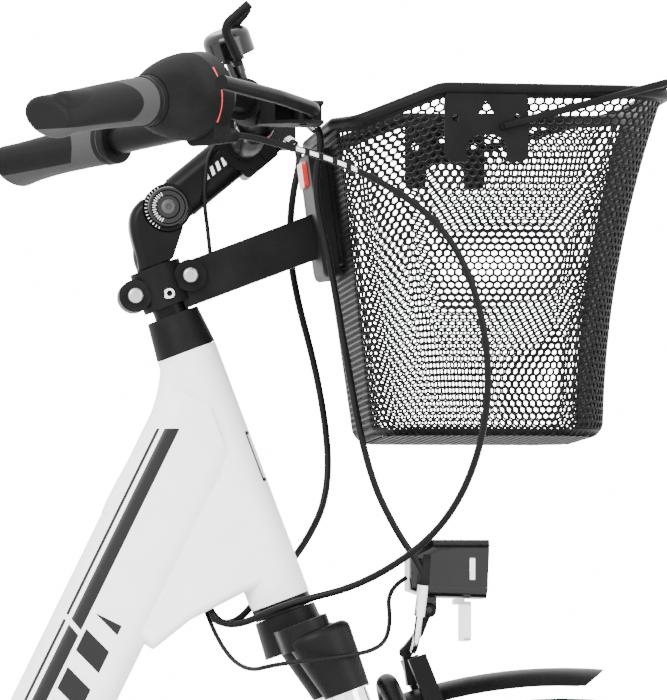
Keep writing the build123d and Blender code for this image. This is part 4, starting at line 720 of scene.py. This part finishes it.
def dial(side):
    """The toothed dial of the stem with its bolt, on one side."""
    facing = SIDEWAYS * side
    face = STEM_PIVOT + facing * 0.0222
    rings = turned_mesh(face, facing, [
        (-0.0052, 0.0146), (-0.0008, 0.0146), (0.0004, 0.0138), (0.0004, 0.0124), (-0.0006, 0.0116), (-0.0006, 0.0086),
        (0.0006, 0.0082), (0.0012, 0.0076),
    ], 72, lambda angle, along: 1.0 + (0.012 * math.cos(36 * angle) if along < -0.0007 else 0.0))
    name = "right" if side < 0 else "left"
    flat_edges(mesh_object(f"stem_dial_{name}", *rings, gloss_plastic, "bar", "black_plastic"))
    bolts(f"stem_dial_bolt_{name}", [(face + facing * 0.0010, facing)], 0.0052, 0.0022, "bar", dark_grey, "steel")
    marks = []
    for step in range(15):
        angle = math.radians(118 + step * 9.2)
        out = AHEAD * math.cos(angle) + UP * math.sin(angle)
        across = facing.cross(out)
        reach, length = (0.0104, 0.0010) if step % 2 else (0.0101, 0.0014)
        marks.append(block(face + out * reach - facing * 0.0006, out, across, facing, (length, 0.0003, 0.0002)))
        rim = STEM_PIVOT + facing * 0.0171 + out * 0.0158
        marks.append(block(rim, out, across, facing, (0.0008, 0.0003, 0.0002)))
    mesh_object(f"stem_dial_marks_{name}", *joined(*marks), mark_white, "bar", "white_paint", smooth=False)


for side in (-1, 1):
    dial(side)

# plain slanted bars on the stem arm
bars = []
for side in (-1, 1):
    lean = Vector((-ARM_RUN.z, 0.0, ARM_RUN.x)) + ARM_RUN * 0.35
    for step in range(5):
        bars.append(block(stem_spot(0.036 + step * 0.0052, 0.0, side * 0.01705), ARM_RUN, lean, SIDEWAYS * side,
                          (0.0013, 0.0030, 0.0002)))
mesh_object("stem_bars", *joined(*bars), mark_white, "bar", "white_paint", smooth=False)

# heads of the basket holder's bolts
bolts("holder_bolt_heads", [
    (fork_spot(HOLDER_LEVEL, reach, side * 0.0199), SIDEWAYS * side) for reach in (-0.021, 0.021) for side in (-1, 1)],
      0.0052, 0.0020, "fork", alloy, "steel")

# the rubber tip of each grip, over the end of the bar
for name, turn in (("right", right_side), ("left", Vector)):
    start, end = turn(bar_point(0.0)), turn(bar_point(0.1))
    tip = turned_mesh(start, (end - start).normalized(), [
        (0.118, 0.0100), (0.130, 0.0119), (0.150, 0.0127), (0.182, 0.0127), (0.1875, 0.0117), (0.1900, 0.0090),
        (0.1908, 0.0040)], 40)
    mesh_object(f"grip_tip_{name}", *tip, grip_finish, "bar", "rubber")

# the thumb pad of the bell
bell_foot, bell_tip = Vector((0.3305, -0.104, 1.1715)), Vector((0.3430, -0.104, 1.1865))
pad = turned_mesh(bell_foot, bell_tip - bell_foot, [
    (-0.001, 0.0022), (0.001, 0.0034), (0.006, 0.0042), (0.014, 0.0044), (0.019, 0.0036), (0.0210, 0.0018)], 28)
mesh_object("bell_thumb_pad", *pad, black_plastic, "bell_striker", "black_plastic")


def weld_beads(name, route, radius, count, body):
    """A row of overlapping weld ripples beside a joint."""
    parts = []
    lengths = [(b - a).length for a, b in zip(route, route[1:])]
    for step in range(count):
        left = sum(lengths) * (step + 0.5) / count
        index = 0
        while left > lengths[index]:
            left -= lengths[index]
            index += 1
        run = (route[index + 1] - route[index]).normalized()
        spot = route[index] + run * left
        facing = Vector((0.0, math.copysign(1.0, spot.y), 0.0))
        outline = [(0.0, radius), (radius * 0.3, radius * 0.85), (radius * 0.5, radius * 0.45)]
        parts.append(turned_mesh(spot, (facing + run * 0.25).normalized(), outline, 10))
    return mesh_object(name, *joined(*parts), white, body, "white_paint")


for side, name in ((-1, "right"), (1, "left")):
    weld_beads(f"weld_{name}", [fork_spot(h, a, side * s) for h, a, s in (
        (0.612, -0.0125, 0.0182), (0.566, -0.0115, 0.0190), (0.515, -0.0145, 0.0188), (0.482, -0.0195, 0.0178))],
               0.0030, 38, "frame")

# clamp bolt of the basket holder, bolts of the lamp and of its bracket
COLUMN_CLAMP = fork_spot(HOLDER_LEVEL - 0.007, 0.002, -0.0155)
bolts("column_clamp_bolt", [(COLUMN_CLAMP, -SIDEWAYS)], 0.0050, 0.0075, "fork", chrome, "steel")
bolts("lamp_bracket_bolts", [
    (Vector((0.4635, s * 0.0068, 0.733)), SIDEWAYS * s) for s in (-1, 1)], 0.0045, 0.0012, "fork_legs",
      black_metal, "black_metal")
bolts("lamp_pivot_bolts", [
    (Vector((0.479, s * 0.0104, 0.763)), SIDEWAYS * s) for s in (-1, 1)], 0.0052, 0.003, "lamp",
      black_metal, "black_metal")

# side windows of the lamp
windows = [block(Vector((0.5085, s * 0.0298, 0.792)), AHEAD, UP, SIDEWAYS * s, (0.0019, 0.0078, 0.0006))
           for s in (-1, 1)]
mesh_object("lamp_windows", *joined(*windows), reflector_white, "lamp", "reflector")

# knurled barrel adjusters on both brake lever mounts
for name, turn in (("right", right_side), ("left", Vector)):
    start, end = turn(adjuster_from), turn(adjuster_to)
    run = (end - start).normalized()
    barrel = turned_mesh(start, run, [
        (-0.001, 0.0040), (0.000, 0.0048), (0.005, 0.0048), (0.0055, 0.0036), (0.0075, 0.0036), (0.008, 0.0046),
        (0.0125, 0.0046), (0.0135, 0.0034), (0.0165, 0.0030),
    ], 48, lambda angle, along: 1.0 + (0.05 * math.cos(16 * angle) if 0.0 <= along <= 0.013 else 0.0))
    flat_edges(mesh_object(f"barrel_adjuster_{name}", *barrel, chrome, "bar", "steel"))

# the rubber boot over the top of the brake noodle
boot = turned_mesh(noodle_top + noodle_run * 0.0085, noodle_run, [
    (0.0, 0.0041), (0.003, 0.0041), (0.006, 0.0037), (0.012, 0.0032), (0.022, 0.0029)], 24)
mesh_object("noodle_boot", *boot, rubber, "bar", "black_plastic")


def twister_line():
    """The red line round the inner edge of the gear twister."""
    spots = []
    for angle in (-38, -20, 0, 20, 38):
        reach, turn = 0.0309, math.radians(angle)
        spots.append(right_side(bar_point(0.0497, -reach * math.cos(turn), reach * math.sin(turn))))
    return line_piece("twister_line", spots, 0.0007, "bar", mark_red)


twister_line()

# clamp rings at the inner ends of the grips
for name, turn in (("right", right_side), ("left", Vector)):
    start, end = turn(bar_point(0.0)), turn(bar_point(0.1))
    run = (end - start).normalized()
    ring = turned_mesh(start + run * 0.0895, run, [
        (0.0, 0.0168), (0.0012, 0.0178), (0.0052, 0.0178), (0.0062, 0.0170), (0.0070, 0.0176), (0.0105, 0.0176),
        (0.0115, 0.0166)], 48)
    flat_edges(mesh_object(f"grip_ring_{name}", *ring, black_plastic, "bar", "black_plastic"))


# ------------------------------------------------------------------ saddle
def saddle():
    """A padded cover with a centre channel, a rolled edge and a piped seam."""
    low, high = (Vector(corner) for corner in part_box("saddle"))
    length, half = high.x - low.x, (high.y - low.y) / 2
    stations, around = 48, 48
    profile = ((0.0, 0.10), (0.03, 0.50), (0.10, 0.86), (0.18, 1.0), (0.30, 0.86), (0.45, 0.52), (0.60, 0.345),
               (0.80, 0.265), (0.93, 0.20), (0.985, 0.12), (1.0, 0.04))

    def width(t):
        for (t0, w0), (t1, w1) in zip(profile, profile[1:]):
            if t <= t1:
                share = (t - t0) / (t1 - t0)
                share = share * share * (3 - 2 * share)
                return half * (w0 + (w1 - w0) * share)
        return half * profile[-1][1]

    vertices, faces = [], []
    for row in range(stations):
        t = row / (stations - 1)
        eased = 0.5 - 0.5 * math.cos(math.pi * t)
        x = low.x + 0.001 + (length - 0.002) * eased
        w = max(width(eased) - 0.0015, 0.002)
        crown = high.z - 0.001 - 0.007 * math.sin(math.pi * min(1.0, max(0.0, (eased - 0.25) / 0.5))) ** 2
        crown -= 0.004 * (1 - min(1.0, eased / 0.12)) + 0.006 * max(0.0, (eased - 0.85) / 0.15)
        for step in range(around):
            angle = 2 * math.pi * step / around
            side, lift = math.cos(angle), math.sin(angle)
            y = w * math.copysign(abs(side) ** 0.75, side)
            if lift >= 0:
                z = crown - 0.013 * (abs(y) / half) ** 2 - 0.012 * (1 - lift ** 0.5)
                z -= 0.0028 * math.exp(-(y / 0.007) ** 2) * math.sin(math.pi * min(1.0, eased * 1.15))
            else:
                z = crown - 0.013 * (abs(y) / half) ** 2 - 0.012 - 0.010 * (-lift) ** 0.6
            vertices.append((x, y, max(z, low.z + 0.0005)))
    for row in range(stations - 1):
        for step in range(around):
            following = (step + 1) % around
            faces.append((row * around + step, row * around + following,
                          (row + 1) * around + following, (row + 1) * around + step))
    faces.append(tuple(range(around)))
    faces.append(tuple(reversed(range((stations - 1) * around, stations * around))))
    piece = mesh_object("saddle_cover", vertices, faces, leather, "seat", "saddle_cover")
    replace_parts(piece, "saddle")
    for name, side in (("right", -1), ("left", 1)):
        seam = []
        for row in range(3, stations - 3, 3):
            spots = [Vector(v) for v in vertices[row * around:(row + 1) * around]]
            seam.append(max(spots, key=lambda spot: spot.y * side + spot.z * 0.3))
        line_piece(f"saddle_seam_{name}", seam, 0.0009, "seat", leather)


saddle()


# ------------------------------------------------------------------ tyres, spokes and chain
SPOKES, TREAD_BLOCKS, NIPPLE_RADIUS = 36, 168, 0.2975
CHAIN_PITCH, CHAINLINE = 0.0127, -0.0475
CHAINRING_TEETH, SPROCKET_TEETH = 38, 18
PLATE_POINTS = 20
PIN_OUTLINE = [(0.0, 0.0014), (0.0003, 0.0018), (0.0069, 0.0018), (0.0072, 0.0014)]
ROLLER_OUTLINE = [(0.0, 0.0036), (0.0002, 0.0038), (0.0026, 0.0038), (0.0028, 0.0036)]


def ring_of(count, centre, place):
    """Copies of small blocks round an axle; place gives the blocks for one angle."""
    parts = []
    for step in range(count):
        angle = 2 * math.pi * step / count
        out = AHEAD * math.cos(angle) + UP * math.sin(angle)
        along = UP * math.cos(angle) - AHEAD * math.sin(angle)
        parts.extend(place(step, centre, out, along))
    return joined(*parts)


def tread(step, centre, out, along):
    side = 1 if step % 2 else -1
    shoulder = centre + out * (TYRE_RADIUS - 0.0052) + SIDEWAYS * side * 0.0128
    tilt = (out * 0.87 + SIDEWAYS * side * 0.5).normalized()
    across = (SIDEWAYS * side * 0.87 - out * 0.5).normalized()
    inner = centre + out * (TYRE_RADIUS - 0.0010) + SIDEWAYS * side * 0.0045
    return [block(shoulder, along, across, tilt, (0.0048, 0.0036, 0.0014)),
            block(inner, along, SIDEWAYS, out, (0.0042, 0.0020, 0.0008))]


def nipple(step, centre, out, along):
    spot = centre + out * NIPPLE_RADIUS
    return [turned_mesh(spot, out, [(0.0, 0.0014), (0.001, 0.0022), (0.0055, 0.0022), (0.0065, 0.0016)], 8)]


for name, axle, body in (("front", FRONT_AXLE, "front_wheel"), ("rear", REAR_AXLE, "rear_wheel")):
    blocks = ring_of(TREAD_BLOCKS, axle, tread)
    mesh_object(f"{name}_tread", *blocks, rubber, body, "rubber", smooth=False)
    mesh_object(f"{name}_nipples", *ring_of(SPOKES, axle, nipple), steel, body, "steel")
    valve = turned_mesh(axle + UP * 0.301, -UP, [
        (0.0, 0.0034), (0.004, 0.0034), (0.005, 0.0027), (0.024, 0.0027), (0.026, 0.0036), (0.034, 0.0034),
        (0.036, 0.0020)], 20)
    flat_edges(mesh_object(f"{name}_valve", *valve, black_plastic, body, "black_plastic"))


def chain():
    """A roller chain: inner and outer plates in turn round the two toothed wheels."""
    big = CHAIN_PITCH / (2 * math.sin(math.pi / CHAINRING_TEETH))
    small = CHAIN_PITCH / (2 * math.sin(math.pi / SPROCKET_TEETH))
    span = (BRACKET - REAR_AXLE).length
    lean = math.atan2(BRACKET.z - REAR_AXLE.z, BRACKET.x - REAR_AXLE.x)
    rise = math.asin((big - small) / span)
    straight = math.sqrt(span ** 2 - (big - small) ** 2)
    around_big, around_small = big * (math.pi + 2 * rise), small * (math.pi - 2 * rise)
    whole = 2 * straight + around_big + around_small
    count = 2 * round(whole / CHAIN_PITCH / 2)

    def spot(distance):
        distance %= whole
        if distance < straight:
            normal = lean + math.pi / 2 + rise
            start = REAR_AXLE + (AHEAD * math.cos(normal) + UP * math.sin(normal)) * small
            run = normal - math.pi / 2
            return start + (AHEAD * math.cos(run) + UP * math.sin(run)) * distance
        distance -= straight
        if distance < around_big:
            angle = lean + math.pi / 2 + rise - distance / big
            return BRACKET + (AHEAD * math.cos(angle) + UP * math.sin(angle)) * big
        distance -= around_big
        if distance < straight:
            normal = lean - math.pi / 2 - rise
            start = BRACKET + (AHEAD * math.cos(normal) + UP * math.sin(normal)) * big
            run = normal - math.pi / 2
            return start + (AHEAD * math.cos(run) + UP * math.sin(run)) * distance
        distance -= straight
        angle = lean - math.pi / 2 - rise - distance / small
        return REAR_AXLE + (AHEAD * math.cos(angle) + UP * math.sin(angle)) * small

    parts = []
    for step in range(count):
        here, after = spot(step * whole / count), spot((step + 1) * whole / count)
        run = (after - here).normalized()
        across = run.cross(SIDEWAYS)
        middle = (here + after) / 2 + SIDEWAYS * CHAINLINE
        offset = 0.0027 if step % 2 else 0.0018
        reach = (after - here).length / 2
        for hand in (-1, 1):
            plate = []
            for a in range(PLATE_POINTS):
                angle = 2 * math.pi * a / PLATE_POINTS
                waist = 0.0041 - 0.0012 * abs(math.sin(angle)) ** 6
                along = reach * math.copysign(1.0, math.cos(angle)) * min(1.0, abs(math.cos(angle)) * 3)
                plate.append(middle + run * (along + 0.0040 * math.cos(angle)) + across * waist * math.sin(angle))
            vertices = [p + SIDEWAYS * (hand * offset + e * 0.00035) for e in (-1, 1) for p in plate]
            faces = [tuple(range(PLATE_POINTS))[::-1], tuple(range(PLATE_POINTS, 2 * PLATE_POINTS))]
            for a in range(PLATE_POINTS):
                following = (a + 1) % PLATE_POINTS
                faces.append((a, following, PLATE_POINTS + following, PLATE_POINTS + a))
            parts.append((vertices, faces))
        pin = here + SIDEWAYS * (CHAINLINE - 0.0036)
        roller = here + SIDEWAYS * (CHAINLINE - 0.0014)
        parts.append(turned_mesh(pin, SIDEWAYS, PIN_OUTLINE, 8))
        parts.append(turned_mesh(roller, SIDEWAYS, ROLLER_OUTLINE, 12))
    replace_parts(mesh_object("chain_links", *joined(*parts), steel, "frame", "steel", smooth=False), "chain")


chain()

# ------------------------------------------------------------------ studio
floor_material = surface("studio_floor", *grey(0.78, 0.8), (0.6, 0.7), grain=20, relief=0.0).material
floor = bpy.data.meshes.new("studio_floor")
floor.from_pydata([(-9, -9, 0), (9, -9, 0), (9, 9, 0), (-9, 9, 0)], [], [(0, 1, 2, 3)])
floor.materials.append(floor_material)
floor_object = bpy.data.objects.new("studio_floor", floor)
bpy.context.scene.collection.objects.link(floor_object)

BACKDROP, AMBIENT = 16.0, 3.3


def studio_world():
    """A white backdrop behind the object, and a weaker white light on it."""
    world = bpy.data.worlds.new("studio")
    bpy.context.scene.world = world
    world.use_nodes = True
    tree = world.node_tree
    background = tree.nodes["Background"]
    background.inputs["Color"].default_value = (1.0, 1.0, 1.0, 1.0)
    path = tree.nodes.new("ShaderNodeLightPath")
    strength = tree.nodes.new("ShaderNodeMapRange")
    strength.inputs["To Min"].default_value = AMBIENT
    strength.inputs["To Max"].default_value = BACKDROP
    tree.links.new(path.outputs["Is Camera Ray"], strength.inputs["Value"])
    tree.links.new(strength.outputs["Result"], background.inputs["Strength"])


def area_light(name, at, aim, size, power):
    data = bpy.data.lights.new(name, "AREA")
    data.shape = "RECTANGLE"
    data.size, data.size_y = size
    data.energy = power
    lamp = bpy.data.objects.new(name, data)
    bpy.context.scene.collection.objects.link(lamp)
    lamp.location = at
    lamp.rotation_euler = (Vector(aim) - Vector(at)).to_track_quat("-Z", "Y").to_euler()


studio_world()
area_light("key", (-2.2, -3.5, 3.2), (0.2, 0, 0.8), (2.0, 2.0), 260)
area_light("fill", (3.0, -3.0, 1.8), (0.3, 0, 0.8), (2.0, 2.0), 90)
